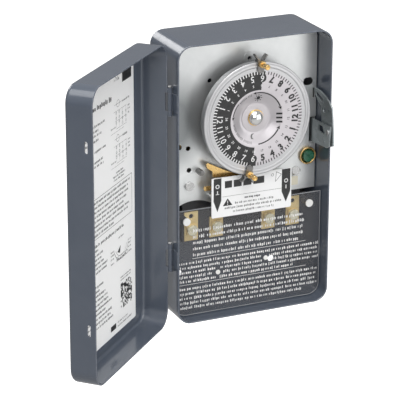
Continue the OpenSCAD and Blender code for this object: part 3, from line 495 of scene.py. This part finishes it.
def makeDoor(s):
    halfW, halfH, wall = s["width"] / 2, s["height"] / 2, s["sheet"]
    bm = bmesh.new()
    inside, outside, bend, rim = s["inFold"], s["outFold"], s["rimRound"], s["rim"]
    profile = [(wall + inside - a, s["face"] + wall + inside - b) for a, b in arc(0, 0, inside, 90, 0)] + \
        [(wall, rim - bend), (wall - bend, rim), (bend, rim), (0, rim - bend)] + \
        [(outside - a, s["face"] + outside - b) for a, b in arc(0, 0, outside, 0, 90)]
    sweep(bm, outlineOf(-halfW, halfW, -halfH, halfH, [s["corner"]] * 4, 10), profile, onDoor)
    cutter = bmesh.new()
    reach = s["slotLong"] / 2 - s["slotWide"] / 2
    for z in s["slotHeights"]:
        ends = [(b, a) for a, b in arc(z + reach, s["slotDepth"], s["slotWide"] / 2, -90, 90, 8)]
        ends += [(b, a) for a, b in arc(z - reach, s["slotDepth"], s["slotWide"] / 2, 90, 270, 8)]
        skin(cutter, [[cutter.verts.new(onDoor(x, depth, height)) for depth, height in ends]
                      for x in (halfW - 3, halfW + 2)])
    for z in s["hingeHeights"]:
        gap = s["hingeLong"] / 2 - s["endKnuckle"]
        box(cutter, (-halfW - 1, rim - s["notch"], z - gap), (-halfW + wall + 1, rim + 1.4, z + gap), onDoor)
    pieceFrom("doorBody", bm, finishes["case_paint"], "door", ["door_shell"], cutter=cutter)
    knuckles = bmesh.new()
    pinX = hingePin.x / mm
    for z in s["hingeHeights"]:
        for side in (-1, 1):
            mid = z + side * (s["hingeLong"] - s["endKnuckle"]) / 2
            start, end = mid - s["endKnuckle"] / 2, mid + s["endKnuckle"] / 2
            tube(knuckles, [pinX, s["hingeBack"], 0], 2, s["knuckle"], s["bore"], start, end)
            box(knuckles, (-halfW + 0.05, rim - 1, start), (-halfW + wall - 0.05, s["hingeBack"] - 1.3, end))
    knuckles.transform(swing)
    pieceFrom("doorKnuckles", knuckles, finishes["case_paint"], "door")


makeDoor(doorSizes)
print("case and door made")

forward = Vector((0, -1, 0))  # the way that the front of the timer looks


# flat print: strokes laid on a surface, where spot gives a place from two lengths
def patch(bm, spot, corners):
    bm.faces.new([bm.verts.new(spot(u, v)) for u, v in corners])


def bar(bm, spot, u0, v0, u1, v1):
    patch(bm, spot, ((u0, v0), (u1, v0), (u1, v1), (u0, v1)))


def line(bm, spot, points, width):
    for (u0, v0), (u1, v1) in zip(points, points[1:]):
        long = math.hypot(u1 - u0, v1 - v0) or 1
        du, dv = -(v1 - v0) / long * width / 2, (u1 - u0) / long * width / 2
        patch(bm, spot, ((u0 + du, v0 + dv), (u0 - du, v0 - dv), (u1 - du, v1 - dv), (u1 + du, v1 + dv)))


def hoop(bm, spot, u, v, radius, width, start=0, end=360, steps=28):
    line(bm, spot, arc(u, v, radius, start, end, steps), width)


def disc(bm, spot, u, v, radius, steps=24):
    patch(bm, spot, arc(u, v, radius, 0, 360, steps)[:-1])


def wordLine(bm, spot, start, end, v, height, pick, weight=0.17, clear=()):
    # a line of plain marks with the rhythm of small print: nothing in it can be read
    u = start
    while u < end - height:
        for _ in range(pick.randint(2, 9)):
            width = height * pick.choice((0.34, 0.5, 0.56, 0.62))
            if u + width > end:
                break
            if any(math.hypot(u + width / 2 - x, v + height / 2 - z) < 4 for x, z in clear):
                u += width * 1.2
                continue
            stem = height * weight * 1.6
            tall = height * pick.choice((0.72, 0.72, 0.72, 1.0))
            low = v - height * pick.choice((0.0, 0.0, 0.0, 0.0, 0.22))
            bar(bm, spot, u, low, u + stem, v + tall)
            shape = pick.randint(0, 3)
            if shape and width > height * 0.4:
                bar(bm, spot, u + width - stem, v, u + width, v + height * 0.72)
            if shape in (1, 3):
                bar(bm, spot, u + stem, v + height * (0.72 - weight),
                    u + width - stem * (shape == 1), v + height * 0.72)
            if shape in (2, 3):
                bar(bm, spot, u + stem, v, u + width - stem, v + height * weight)
            u += width + height * 0.24
        u += height * 0.45


dialMid = middleOf("dial_hub_disc")
dialX, dialZ = dialMid[0], dialMid[2]
dialSizes = {
    "face": sizesOf("dial_face")[0][1], "dish": 21.5, "dishFloor": 11.8, "turn": 6.5, "band": 22.4, "edge": 39.7,
    "bandEdge": 36.9, "tickIn": 34.5, "tickOut": 36.9, "tick": 0.62, "numeral": 31.6, "numeralSize": 6.7,
    "smallNumeral": 25.9, "smallSize": 2.6, "dayBold": 0.34, "nightBold": 0.06, "shoulder": 3.3,
    "bandLift": 0.03, "shoulderLift": 0.04, "markLift": 0.06, "arrow": 20.3, "arrowHalf": 0.45,
    "arrows": ((-2, 68, (0, 1)), (-50, -80, (1,)), (177, 121, (1,))), "head": (8, 1.5, 1.2),
    "smallMarks": ((-46, -12), (-98, -172)), "smallRing": 19.2, "setBars": (-3.6, -0.4, 2.8),
    "sun": (1.5, 15.6), "moon": (-2.2, -14.6)}
dishDepth = sizesOf("dial_hub_disc")[1][1]


def onDial(lift):  # the spot takes a radius and degrees clockwise from the top
    def spot(radius, turn):
        s = dialSizes
        sunk = max(0.0, min(1.0, (s["dish"] - radius) / (s["dish"] - s["dishFloor"]))) * (dishDepth - s["face"])
        a = math.radians(turn)
        return at(dialX + radius * math.sin(a), s["face"] + sunk - lift, dialZ + radius * math.cos(a))
    return spot


def ringPart(bm, spot, inner, outer, start, end, steps):
    for i in range(steps):
        a, b = start + (end - start) * i / steps, start + (end - start) * (i + 1) / steps
        patch(bm, spot, ((inner, a), (outer, a), (outer, b), (inner, b)))


def numeral(bm, text, radius, turn, size, lift, bold):
    curve = bpy.data.curves.new("numeral", "FONT")
    curve.body, curve.size, curve.offset = text, size * mm, bold * mm
    curve.align_x, curve.align_y = "CENTER", "CENTER"
    curve.resolution_u = 3
    holder = addObject("numeral", curve)
    mesh = bpy.data.meshes.new_from_object(holder)
    a = math.radians(turn)
    up = Vector((-math.sin(a), 0, -math.cos(a)))  # the tops point to the middle
    right = Vector((up.z, 0, -up.x))
    turned = Matrix.Identity(4)
    for row in range(3):
        turned[row][0], turned[row][1], turned[row][2] = right[row], up[row], -(row == 1)
    turned.translation = onDial(lift)(radius, turn)
    mesh.transform(turned)
    bm.from_mesh(mesh)
    bpy.data.objects.remove(holder)
    bpy.data.curves.remove(curve)
    bpy.data.meshes.remove(mesh)


def makeDialPrint(s):
    turn = s["turn"]
    night, silver, white, black, grey = (bmesh.new() for _ in range(5))
    under, over = onDial(s["bandLift"]), onDial(s["markLift"])

    def flatOn(spot):  # x to the right, z up, from the dial's centre
        return lambda x, z: spot(math.hypot(x, z), math.degrees(math.atan2(x, z)))

    ringPart(night, under, s["band"], s["bandEdge"], 180 + turn - 0.5, 360 + turn + 0.5, 60)
    ringPart(night, under, s["tickIn"] - 1.5, s["bandEdge"], 180 + turn - 4.5, 180 + turn - 0.5, 3)
    ringPart(night, under, s["tickIn"] - 1.5, s["bandEdge"], 360 + turn + 0.5, 360 + turn + 4.5, 3)
    flat = flatOn(onDial(s["shoulderLift"]))
    for a in (turn, turn + 180):  # the band ends in a round shoulder behind each 6
        shoulder = math.radians(a)
        disc(night, flat, s["numeral"] * math.sin(shoulder), s["numeral"] * math.cos(shoulder), s["shoulder"])
    ringPart(silver, under, s["bandEdge"], s["edge"], 0, 360, 120)
    for i in range(96):
        a = turn + 3.75 * i
        dark = 184.5 <= (a - turn) % 360 <= 360 or (a - turn) % 360 < 4.5
        inner = s["tickIn"] - (0.5 if i % 4 == 0 else 0)
        ringPart(white if dark else black, over, inner, s["tickOut"], a - s["tick"], a + s["tick"], 1)
    for i in range(24):
        a = turn + 15 * i
        dark = i == 0 or i >= 12
        ink, bold = (white, s["nightBold"]) if dark else (black, s["dayBold"])
        numeral(ink, str((5 + i) % 12 + 1), s["numeral"], a, s["numeralSize"], s["markLift"], bold)
        numeral(ink, str((5 + i) % 24 + 1), s["smallNumeral"], a, s["smallSize"], s["markLift"], 0.04)
    arrow, (long, wide, notch) = s["arrow"], s["head"]
    for start, end, heads in s["arrows"]:
        ringPart(black, over, arrow - s["arrowHalf"], arrow + s["arrowHalf"], start, end, 16)
        for which in heads:
            tip = end if which else start
            away = 1 if (end > start) == bool(which) else -1
            patch(black, over, ((arrow, tip + away * long), (arrow - wide, tip), (arrow, tip + away * notch),
                                (arrow + wide, tip)))
    for start, end in s["smallMarks"]:  # plain short marks between the arrows
        way = 1 if end > start else -1
        steps = int(abs(end - start) / 3.1)
        for i in range(steps):
            a = start + (end - start) * i / steps
            if i % 8 == 6:
                continue
            tall = 0.85 if i % 3 else 1.05
            ringPart(black if start > -60 or i < 14 else grey, over, s["smallRing"] - tall, s["smallRing"] + tall,
                     a, a + 0.95 * way, 1)

    flat = flatOn(over)
    for v in s["setBars"]:  # three bars where the time is set
        bar(black, flat, 16.4, v - 2.0, 20.8, v - 0.6)
    sunX, sunZ = s["sun"]
    for a in range(0, 360, 45):
        ray = Vector((math.cos(math.radians(a)), math.sin(math.radians(a))))
        line(black, flat, [(sunX + r * ray.x, sunZ + r * ray.y) for r in (2.0, 3.1)], 0.6)
    disc(black, flat, sunX, sunZ, 1.5)
    moonX, moonZ = s["moon"]
    moon = arc(moonX, moonZ, 2.3, 60, 300, 18) + arc(moonX + 1, moonZ, 1.9, 285, 75, 14)
    for i in range(1, 13):
        patch(grey, flat, (moon[i - 1], moon[i], moon[-i - 1], moon[-i]))
    for name, bm, finish, slotName in (
            ("dialNightBand", night, inks["black"], "dial_print"),
            ("dialSilverBand", silver, finishes["dial_aluminium"], "dial_aluminium"),
            ("dialWhiteMarks", white, inks["white"], "dial_print"),
            ("dialBlackMarks", black, inks["black"], "dial_print"),
            ("dialGreyMarks", grey, inks["grey"], "dial_print")):
        pieceFrom(name, bm, finish, "dial", facing=forward)


traySizes = {
    "bore": 3.05, "sheet": 1.2, "dishEdge": 21.5, "dishFloor": 11.8, "ring": 39.8, "groove": 42.6, "wall": 2.6,
    "lipBack": 7.8, "wallBack": 14, "hub": 9, "hubRear": 7.7, "steps": 270, "bead": 0.25, "rimKnurl": 0.12,
    "beadRows": ((40.5, 0.15), (40.7, 0), (41.7, 0), (41.9, 0.3), (42.3, 0.3), (42.5, 0), (43.5, 0), (43.8, 0.15))}


def makeDialTray(s):
    low, high = sizesOf("dial_tray")
    outer, front, rear = (high[0] - low[0]) / 2, low[1], high[1]
    ring, groove, inner, face = s["ring"], s["groove"], s["groove"] - s["wall"], dialSizes["face"]
    near, far = 0.6, 0.6 + s["sheet"]  # the print lies on a face that stands this far in front
    outline = [(s["bore"], dishDepth + near), (s["dishFloor"], dishDepth + near), (s["dishEdge"], face + near),
               (ring, face + near), (ring, face), (ring + 0.3, front + 0.25)]
    outline += [(radius, front + sunk) for radius, sunk in s["beadRows"]]
    outline += [(outer - 0.2, front + 0.4), (outer, front + 0.8), (outer, s["lipBack"] - 0.2),
                (outer - 0.2, s["lipBack"]), (groove, s["lipBack"]), (groove, s["wallBack"]),
                (inner, s["wallBack"]), (inner, face + far), (s["dishEdge"], face + far),
                (s["dishFloor"], dishDepth + far), (s["hub"], dishDepth + far), (s["hub"] - 1, rear - 0.3),
                (s["hubRear"], rear), (s["bore"], rear)]
    ridges = {row: (0, s["bead"]) for row in (7, 8, 11, 12)}
    ridges.update({row: (-s["rimKnurl"], 0) for row in (15, 16)})
    bm = bmesh.new()
    lathe(bm, dialX, dialZ, outline, s["steps"], ridges)
    pieceFrom("dialTray", bm, finishes["dial_aluminium"], "dial", ["dial_tray"], sharp=60)


knobSizes = {"skirt": 0.8, "chamfer": 0.15, "steps": 64}


def makeKnob(s):
    low, high = sizesOf("dial_knob")
    radius, tip, base = (high[0] - low[0]) / 2, low[1], high[1]
    skirt, chamfer = base - s["skirt"], s["chamfer"]
    dome = [(radius * math.cos(math.radians(a)), skirt - (skirt - tip) * math.sin(math.radians(a)))
            for a in range(0, 90, 9)]
    bm = bmesh.new()
    lathe(bm, dialX, dialZ, [(0, base), (radius - chamfer, base), (radius, base - chamfer)] + dome + [(0, tip)],
          s["steps"])
    pieceFrom("dialKnob", bm, finishes["knob_chrome"], "dial", ["dial_knob"], sharp=50)


screwSizes = {"head": 2.08, "headLong": 3.2, "waist": 1.5, "waistEnd": 8.2, "collar": 2.68, "collarEnd": 10.8,
              "shank": 1.3, "headKnurl": 0.16, "collarKnurl": 0.2, "slotHalf": 0.35, "steps": 48}


def makeThumbscrew(s, name, node, body):
    low, high = sizesOf(node)
    x, z = (low[0] + high[0]) / 2, (low[2] + high[2]) / 2
    tip, head, waist, collar = low[1], s["head"], s["waist"], s["collar"]
    headEnd, waistEnd, collarEnd = (tip + s[key] for key in ("headLong", "waistEnd", "collarEnd"))
    outline = [(0, tip + 0.9), (0.6, tip + 0.15), (head - 0.35, tip), (head, tip + 0.3), (head, headEnd - 0.3),
               (head - 0.3, headEnd), (waist, headEnd + 0.1), (waist, waistEnd - 0.1), (collar - 0.3, waistEnd),
               (collar, waistEnd + 0.3), (collar, collarEnd - 0.3), (collar - 0.3, collarEnd),
               (s["shank"], collarEnd), (s["shank"], high[1]), (0, high[1])]
    knurl = {row: (-s["headKnurl"], 0) for row in (3, 4)}
    knurl.update({row: (-s["collarKnurl"], 0) for row in (9, 10)})
    bm = bmesh.new()
    lathe(bm, x, z, outline, s["steps"], knurl)
    cutter = bmesh.new()
    box(cutter, (x - 3, tip - 1, z - s["slotHalf"]), (x + 3, tip + 1, z + s["slotHalf"]))
    pieceFrom(name, bm, finishes["brass"], body, [node], sharp=28, cutter=cutter)


makeDialTray(traySizes)
makeDialPrint(dialSizes)
makeKnob(knobSizes)
makeThumbscrew(screwSizes, "onThumbscrew", "on_thumbscrew", "on_screw")
makeThumbscrew(screwSizes, "offThumbscrew", "off_thumbscrew", "off_screw")
print("dial made")


insulatorSizes = {
    "corner": 9, "topCorner": 0.8, "lip": 0.45, "lipWide": 0.9, "lift": 0.03, "rule": 0.15, "seed": 11,
    "bead": ((0.2, 0), (0.3, -0.12), (0.65, -0.12), (0.75, 0), (0.65, 0.1), (0.3, 0.1)),
    "blocks": (  # left, right, first line, last line, letter height, stroke, where the last line ends
        (-46.2, 48.6, -40.1, -59.8, 2.4, 0.15, 43.5),
        (-58.9, 60.8, -65.7, -80.6, 2.15, 0.18, 42),
        (-58.6, 60.8, -86.7, -102.2, 2.15, 0.18, 46.5)),
    "rules": ((-46.8, 49.4, -61.6), (-58.2, 50, -82.3))}


def buttonBoxes():  # the two buttons on the sheet, told apart by the side that they are on
    points = [vert.co for vert in nodes["insulator_buttons"].data.vertices]
    middle = sum((p.x for p in points)) / len(points)
    boxes = []
    for side in (-1, 1):
        near = [p / mm for p in points if (p.x - middle) * side > 0]
        boxes.append(([min(p[i] for p in near) for i in range(3)], [max(p[i] for p in near) for i in range(3)]))
    return boxes


def makeInsulator(s):
    low, high = sizesOf("insulator_sheet")
    bm = bmesh.new()
    front, back = low[1], high[1]
    ring = outlineOf(low[0], high[0], low[2], high[2], [s["topCorner"]] * 2 + [s["corner"]] * 2, 10)
    lip, wide = s["lip"], s["lipWide"]
    sweep(bm, ring, [(wide + 0.15, front), (wide, front - lip * 0.7), (wide - 0.25, front - lip), (0.25, front - lip),
                     (0, front - lip * 0.6), (0, back - 0.15), (0.15, back)])
    pieceFrom("insulatorSheet", bm, finishes["smoked_sheet"], "case", ["insulator_sheet"])
    bead = bmesh.new()
    sweep(bead, ring, [(inset, front - lip + rise) for inset, rise in s["bead"]], closed=True)
    pieceFrom("insulatorBead", bead, finishes["smoked_edge"], "case")
    white = bmesh.new()
    pick = random.Random(s["seed"])

    def spot(u, v):
        return at(u, front - s["lift"], v)
    clear = [((low[0] + high[0]) / 2, (low[2] + high[2]) / 2) for low, high in buttonBoxes()]
    for left, right, first, last, height, stroke, shortEnd in s["blocks"]:
        for i in range(5):
            v = first + (last - first) * i / 4
            wordLine(white, spot, left, shortEnd if i == 4 else right, v, height, pick, stroke, clear)
    for left, right, v in s["rules"]:
        bar(white, spot, left, v - s["rule"], right, v + s["rule"])
    pieceFrom("insulatorPrint", white, inks["white"], "case", facing=forward)


labelMarks = {
    "lift": 0.03, "overLift": 0.05, "seed": 5, "topGap": 0.4, "shoulder": -17.8, "tip": -26.4,
    "pointers": ((-29.9, -23.5, -6.2), (27.3, 34.6, -9.2)),  # left, right and the height of the ring mark
    "crossbar": ((-28.1, -12.3), (-25.3, -12.3)), "blockRow": (-8.2, -2.6),
    "blocks": ((-20.6, -14.6), (-13.2, -6.6), (-5.2, 1.6), (3.2, 12.4)), "dot": (19.4, -3.1, 1.0),
    "flag": ((22.6, -1.0), (26.9, -3.4), (21.9, -8.8), (22.6, -1.0)), "rule": (-22.6, -15.0, 27.2, -14.75),
    "sign": ((-18.2, -16.6), (-22.2, -22.4), (-14.2, -22.4)), "signStroke": ((-18.2, -18.4), (-18.2, -20.6)),
    "signDot": (-18.2, -21.5, 0.35), "heading": (-4, 11.2, -18.4),
    "lines": ((-12, 20.4, -21.8), (-20.6, 27.8, -25.0), (-13.6, 21.6, -28.3))}


def makeLabelPrint(s):
    low, high = sizesOf("label_plate")
    front, top = low[1], high[2] - s["topGap"]
    black, white, grey = (bmesh.new() for _ in range(3))
    pick = random.Random(s["seed"])

    def spot(u, v):
        return at(u, front - s["lift"], v)

    def over(u, v):
        return at(u, front - s["overLift"], v)

    for left, right, ringV in s["pointers"]:
        middle = (left + right) / 2
        patch(black, spot, ((left, top), (left, s["shoulder"]), (middle, s["tip"]), (right, s["shoulder"]),
                            (right, top)))
        hoop(white, over, middle, ringV, 1.35, 0.75)
        line(white, over, [(middle, ringV - 3.4), (middle, ringV - 6.4)], 0.75)
    line(white, over, s["crossbar"], 0.6)
    for left, right in s["blocks"]:  # a plain row of blocks
        bar(black, spot, left, s["blockRow"][0], right, s["blockRow"][1])
    hoop(grey, spot, *s["dot"], 0.32)
    line(grey, spot, s["flag"], 0.35)
    bar(grey, spot, *s["rule"])
    patch(black, spot, s["sign"])
    line(white, over, s["signStroke"], 0.6)
    disc(white, over, *s["signDot"])
    wordLine(black, spot, *s["heading"], 1.7, pick, 0.26)
    for row in s["lines"]:
        wordLine(grey, spot, *row, 1.75, pick, 0.16)
    for name, bm, ink in (("labelBlackPrint", black, "black"), ("labelWhitePrint", white, "white"),
                          ("labelGreyPrint", grey, "grey")):
        pieceFrom(name, bm, inks[ink], "case", facing=forward)


paperSizes = {  # rows of print are (start, end, height on the sheet), or ends down one column
    "left": 56.4, "wide": 106, "tall": 204, "thick": 0.25, "corner": 1.5, "lift": 0.03, "seed": 23, "margin": 5,
    "title": (5, 63, 97.6), "subtitle": (6, 67.6, 80.4), "titleHeight": 3.4, "textHeight": 1.9,
    "intro": ((68.4, 56), (64.8, 45), (61.4, 49.5), (57.6, 44.5), (49.4, 56), (45.8, 38), (41.6, 51), (38.4, 53)),
    "diagramTops": (75, 49), "diagramColumns": (74.6, 79.8, 85.6, 91.6), "rail": 0.22,
    "captions": ((73.6, 86.4, 22.8), (68, 90.4, 20.4), (69, 87.6, 17.8)),
    "frame": ((3, 14.8), (100.8, 14.8), (100.8, -15.4), (3, -15.4), (3, 14.8)),
    "framed": (98, 96, 95.6, 92, 88, 97, 93.6, 68.4), "steps": (49.4, 47, 51, 56.6, 55),
    "pointer": ((73.8, -38.6), (79.8, -34.8), (78.4, -40.4)),
    "scaleBox": ((72, -42.6), (92, -42.6), (92, -45.4), (72, -45.4), (72, -42.6)),
    "notes": (51, 43, 53, 55, 57, 63.4, 53, 63.6, 63, 65.4), "boldNotes": (2, 5, 6),
    "cells": 15, "cell": 1.36, "cellCorner": (79, -86)}


def makeDoorPaper(s):
    face = doorSizes["face"] + doorSizes["sheet"]
    left, thick, text = s["left"], s["thick"], s["textHeight"]
    into = (swing.to_3x3() @ Vector((0, 1, 0))).normalized()
    bm = bmesh.new()
    sweep(bm, outlineOf(left - s["wide"], left, -s["tall"] / 2, s["tall"] / 2, [s["corner"]] * 4, 3),
          [(0.05, face + thick), (0, face + thick - 0.05), (0, face + 0.05), (0.05, face)], onDoor)
    pieceFrom("doorPaper", bm, finishes["paper"], "door", ["door_paper"])
    black, grey = bmesh.new(), bmesh.new()
    pick = random.Random(s["seed"])

    def spot(u, v):  # u runs right from the sheet's left edge as read, v up from its middle
        return onDoor(left - u, face + thick + s["lift"], v)

    def words(ink, start, end, v, height=text, weight=0.17):
        wordLine(ink, spot, start, end, v, height, pick, weight)

    words(black, *s["title"], s["titleHeight"], 0.22)
    bar(black, spot, 85.6, 88.8, 101.8, 99.6)
    hoop(grey, spot, 76, 97, 2.6, 0.4)
    words(grey, 71.5, 81, 92.6, 1.8)
    words(black, *s["subtitle"], s["titleHeight"], 0.24)
    for v, end in s["intro"]:
        words(black, s["margin"], end, v)
    for top in s["diagramTops"]:  # two wiring diagrams, the lower one a little narrower
        second = top < 60
        hoop(grey, spot, 78 - second, top, 2.6, 0.3)
        line(grey, spot, [(71.5, top), (84.5, top)], 0.3)
        words(black, 85.4, 98.6 - second * 5, top - 0.8, 1.5, 0.24)
        for u in s["diagramColumns"]:
            lower = u > 82
            for v in (6.6, 10.4, 14.0):
                hoop(grey, spot, u, top - v - lower * 2.6, 0.85, 0.3, steps=10)
            line(grey, spot, [(u, top - 5), (u, top - 17.6 + lower * 1.6)], s["rail"])
        for v in (5.2, 12.6, 18.6):
            line(grey, spot, [(68.4 + v / 3, top - v), (92.6, top - v)], s["rail"])
        line(grey, spot, [(64.6, top - 20.6), (88, top - 20.6)], s["rail"])
        for v in (6.8, 9.4, 12.2):
            words(grey, 95, 99.4, top - v, 1.3)
        words(grey, 65, 74, top - 17.2, 1.2)
    for row in s["captions"]:
        words(black, *row, 1.5, 0.22)
    line(grey, spot, s["frame"], 0.4)
    for i, end in enumerate(s["framed"]):
        words(black, 6, end, 11.2 - 3.55 * i, weight=0.2)
    words(black, s["margin"], 86.6, -21.8, 2.3, 0.24)
    words(black, s["margin"], 41, -25.2)
    for i, end in enumerate(s["steps"]):
        words(black, s["margin"], end, -28.8 - 3.4 * i)
    hoop(grey, spot, 81, -32, 13.6, 0.5, 200, 340)
    hoop(grey, spot, 81, -32, 11, 0.3, 205, 335)
    patch(black, spot, s["pointer"])
    line(grey, spot, s["scaleBox"], 0.35)
    words(black, 73, 91.6, -45, 1.5, 0.22)
    words(grey, 75.6, 85.6, -28.6, 1.5)
    for v in (-36, -38.6, -41.6, -45.2):
        words(grey, 62, 68, v, 1.4)
        words(grey, 93, 99.4, v, 1.4)
    for i, end in enumerate(s["notes"]):
        words(black, s["margin"], end, -53.2 - 3.6 * i, weight=0.3 if i in s["boldNotes"] else 0.2)
    for v in (-61.2, -63.4):
        words(grey, 79, 98, v, 1.3)
    cornerU, cornerV = s["cellCorner"]  # a plain hatched block
    for row in range(s["cells"]):
        for column in range(s["cells"]):
            if pick.random() < 0.52:
                u, v = cornerU + column * s["cell"], cornerV + row * s["cell"]
                bar(black, spot, u, v, u + s["cell"], v + s["cell"])
    bar(black, spot, 60.6, -97.6, 70, -93.4)
    words(grey, 73, 91, -94.8, 1.4)
    words(grey, 73, 99.6, -97.8, 1.4)
    pieceFrom("doorPaperBlackPrint", black, inks["black"], "door", facing=into)
    pieceFrom("doorPaperGreyPrint", grey, inks["grey"], "door", facing=into)


makeInsulator(insulatorSizes)
makeLabelPrint(labelMarks)
makeDoorPaper(paperSizes)
print("insulator, label and paper made")


# the parts that keep their own shape get finishes and softened edges, in millimetres
softEdges = {"usual": 0.18, "mechanism_plate": 0.3, "hasp_bracket": 0.3, "latch_lever": 0.35, "switch_base": 0.5,
             "switch_cover": 0.4, "motor_can": 0.8, "label_plate": 0.15, "ground_washer": 0.3, "ground_screw": 0.3,
             "block_screws": 0.3, "terminal_screws": 0.25, "on_tripper": 0.12, "off_tripper": 0.12,
             "dial_gear": 0.05, "idler_gear": 0.05, "motor_pinion": 0.04, "motor_rotor": 0.1}


ownFinish = {  # parts whose finish differs a little from the others in their slot
    "hasp_bracket": "hasp_zinc", "latch_lever": "hasp_zinc", "terminal_plates": "terminal_brass",
    "terminal_clamps": "terminal_brass", "terminal_screws": "screw_brass", "dial_hub_disc": "hub_silver"}


def dressNodes(edges):
    slotOf = {part["node"]: part["material_slot"] for part in frame["record"]["subparts"]}
    for name, node in nodes.items():
        if node.hide_render:
            continue
        node.data.materials.clear()
        node.data.materials.append(finishes[ownFinish.get(name, slotOf[name])])
        node.data.shade_smooth()
        weld = node.modifiers.new("joinSeams", "WELD")
        weld.merge_threshold = 0.00001
        rounding = node.modifiers.new("softEdges", "BEVEL")
        rounding.width = edges.get(name, edges["usual"]) * mm
        rounding.segments = 2
        rounding.angle_limit = math.radians(38)
        rounding.use_clamp_overlap = True
        node.modifiers.new("evenShading", "WEIGHTED_NORMAL").keep_sharp = True


dressNodes(softEdges)
print("parts dressed")


shot = {"aim": (-45.0, 0.0, -7.6), "azimuth": -24.3, "elevation": 19.9, "roll": 0.13, "distance": 1.592,
        "lens": 192.05, "shift": (-0.002, -0.0095)}
lights = {  # where each soft panel stands, in metres, its size and its power
    "top": ((-0.2, -0.8, 1.5), 1.1, 17), "front": ((-0.5, -1.9, 0.7), 1.3, 10),
    "right": ((0.95, -1.5, 0.05), 1.5, 9), "topLeft": ((-0.9, -0.05, 1.35), 0.8, 6),
    "behind": ((-0.52, 1.6, 0.85), 0.7, 6)}
room = {"aim": (0, -0.03, 0), "low": (0.3, 0.3, 0.31), "high": (1.0, 1.0, 1.0), "between": (-0.15, 0.75),
        "strength": 0.5, "floorReach": 6.0, "floorDrop": -0.55}


def makeCamera(s):
    azimuth, elevation, roll = (math.radians(s[key]) for key in ("azimuth", "elevation", "roll"))
    back = Vector((math.sin(azimuth) * math.cos(elevation), -math.cos(azimuth) * math.cos(elevation),
                   math.sin(elevation)))
    right = Vector((math.cos(azimuth), math.sin(azimuth), 0))
    up = back.cross(right)
    rolledRight = right * math.cos(roll) + up * math.sin(roll)
    rolledUp = up * math.cos(roll) - right * math.sin(roll)
    lens = bpy.data.cameras.new("shotCamera")
    lens.lens, lens.sensor_width = s["lens"], 36
    lens.shift_x, lens.shift_y = s["shift"]
    camera = addObject("shotCamera", lens)
    stand = Matrix.Identity(4)
    for row in range(3):
        stand[row][0], stand[row][1], stand[row][2] = rolledRight[row], rolledUp[row], back[row]
    stand.translation = at(*s["aim"]) + back * s["distance"]
    camera.matrix_world = stand
    bpy.context.scene.camera = camera


def makeLights(s):
    for name, (place, size, power) in lights.items():
        panel = bpy.data.lights.new(name, "AREA")
        panel.energy, panel.size = power, size
        lamp = addObject(name, panel)
        lamp.location = place
        lamp.rotation_euler = (Vector(place) - Vector(s["aim"])).to_track_quat("Z", "Y").to_euler()
    world = bpy.data.worlds.new("paleRoom")
    bpy.context.scene.world = world
    world.use_nodes = True
    tree = world.node_tree
    place = tree.nodes.new("ShaderNodeTexCoord")
    parts = tree.nodes.new("ShaderNodeSeparateXYZ")
    tree.links.new(place.outputs["Generated"], parts.inputs[0])
    height = remap(tree, parts.outputs[2], *s["between"])
    glow = tree.nodes["Background"]
    tree.links.new(blendColour(tree, height, s["low"], s["high"]), glow.inputs["Color"])
    glow.inputs["Strength"].default_value = s["strength"]
    bpy.context.scene.view_settings.view_transform = "Standard"


def makeFloor(s):
    bm = bmesh.new()
    reach = s["floorReach"]
    corners = ((-reach, -reach), (reach, -reach), (reach, reach), (-reach, reach))
    bm.faces.new([bm.verts.new((x, y, s["floorDrop"])) for x, y in corners])
    mesh = bpy.data.meshes.new("paleFloor")
    bm.to_mesh(mesh)
    bm.free()
    floor = addObject("paleFloor", mesh)
    paper = makeFinish("floorPaper", base=(0.55, 0.55, 0.55), second=(0.53, 0.53, 0.53),
                       rough=(0.8, 0.9), cloudScale=2.0, bump=0.0)
    tree = paper.node_tree
    shader = tree.nodes["Principled BSDF"]
    shader.inputs["Emission Color"].default_value = (1, 1, 1, 1)
    # evenly white to look at, plain paper for the light that it sends back
    seen = tree.nodes.new("ShaderNodeLightPath")
    tree.links.new(seen.outputs["Is Camera Ray"], shader.inputs["Emission Strength"])
    mesh.materials.append(paper)


makeCamera(shot)
makeLights(room)
makeFloor(room)
print("camera, light and floor set")
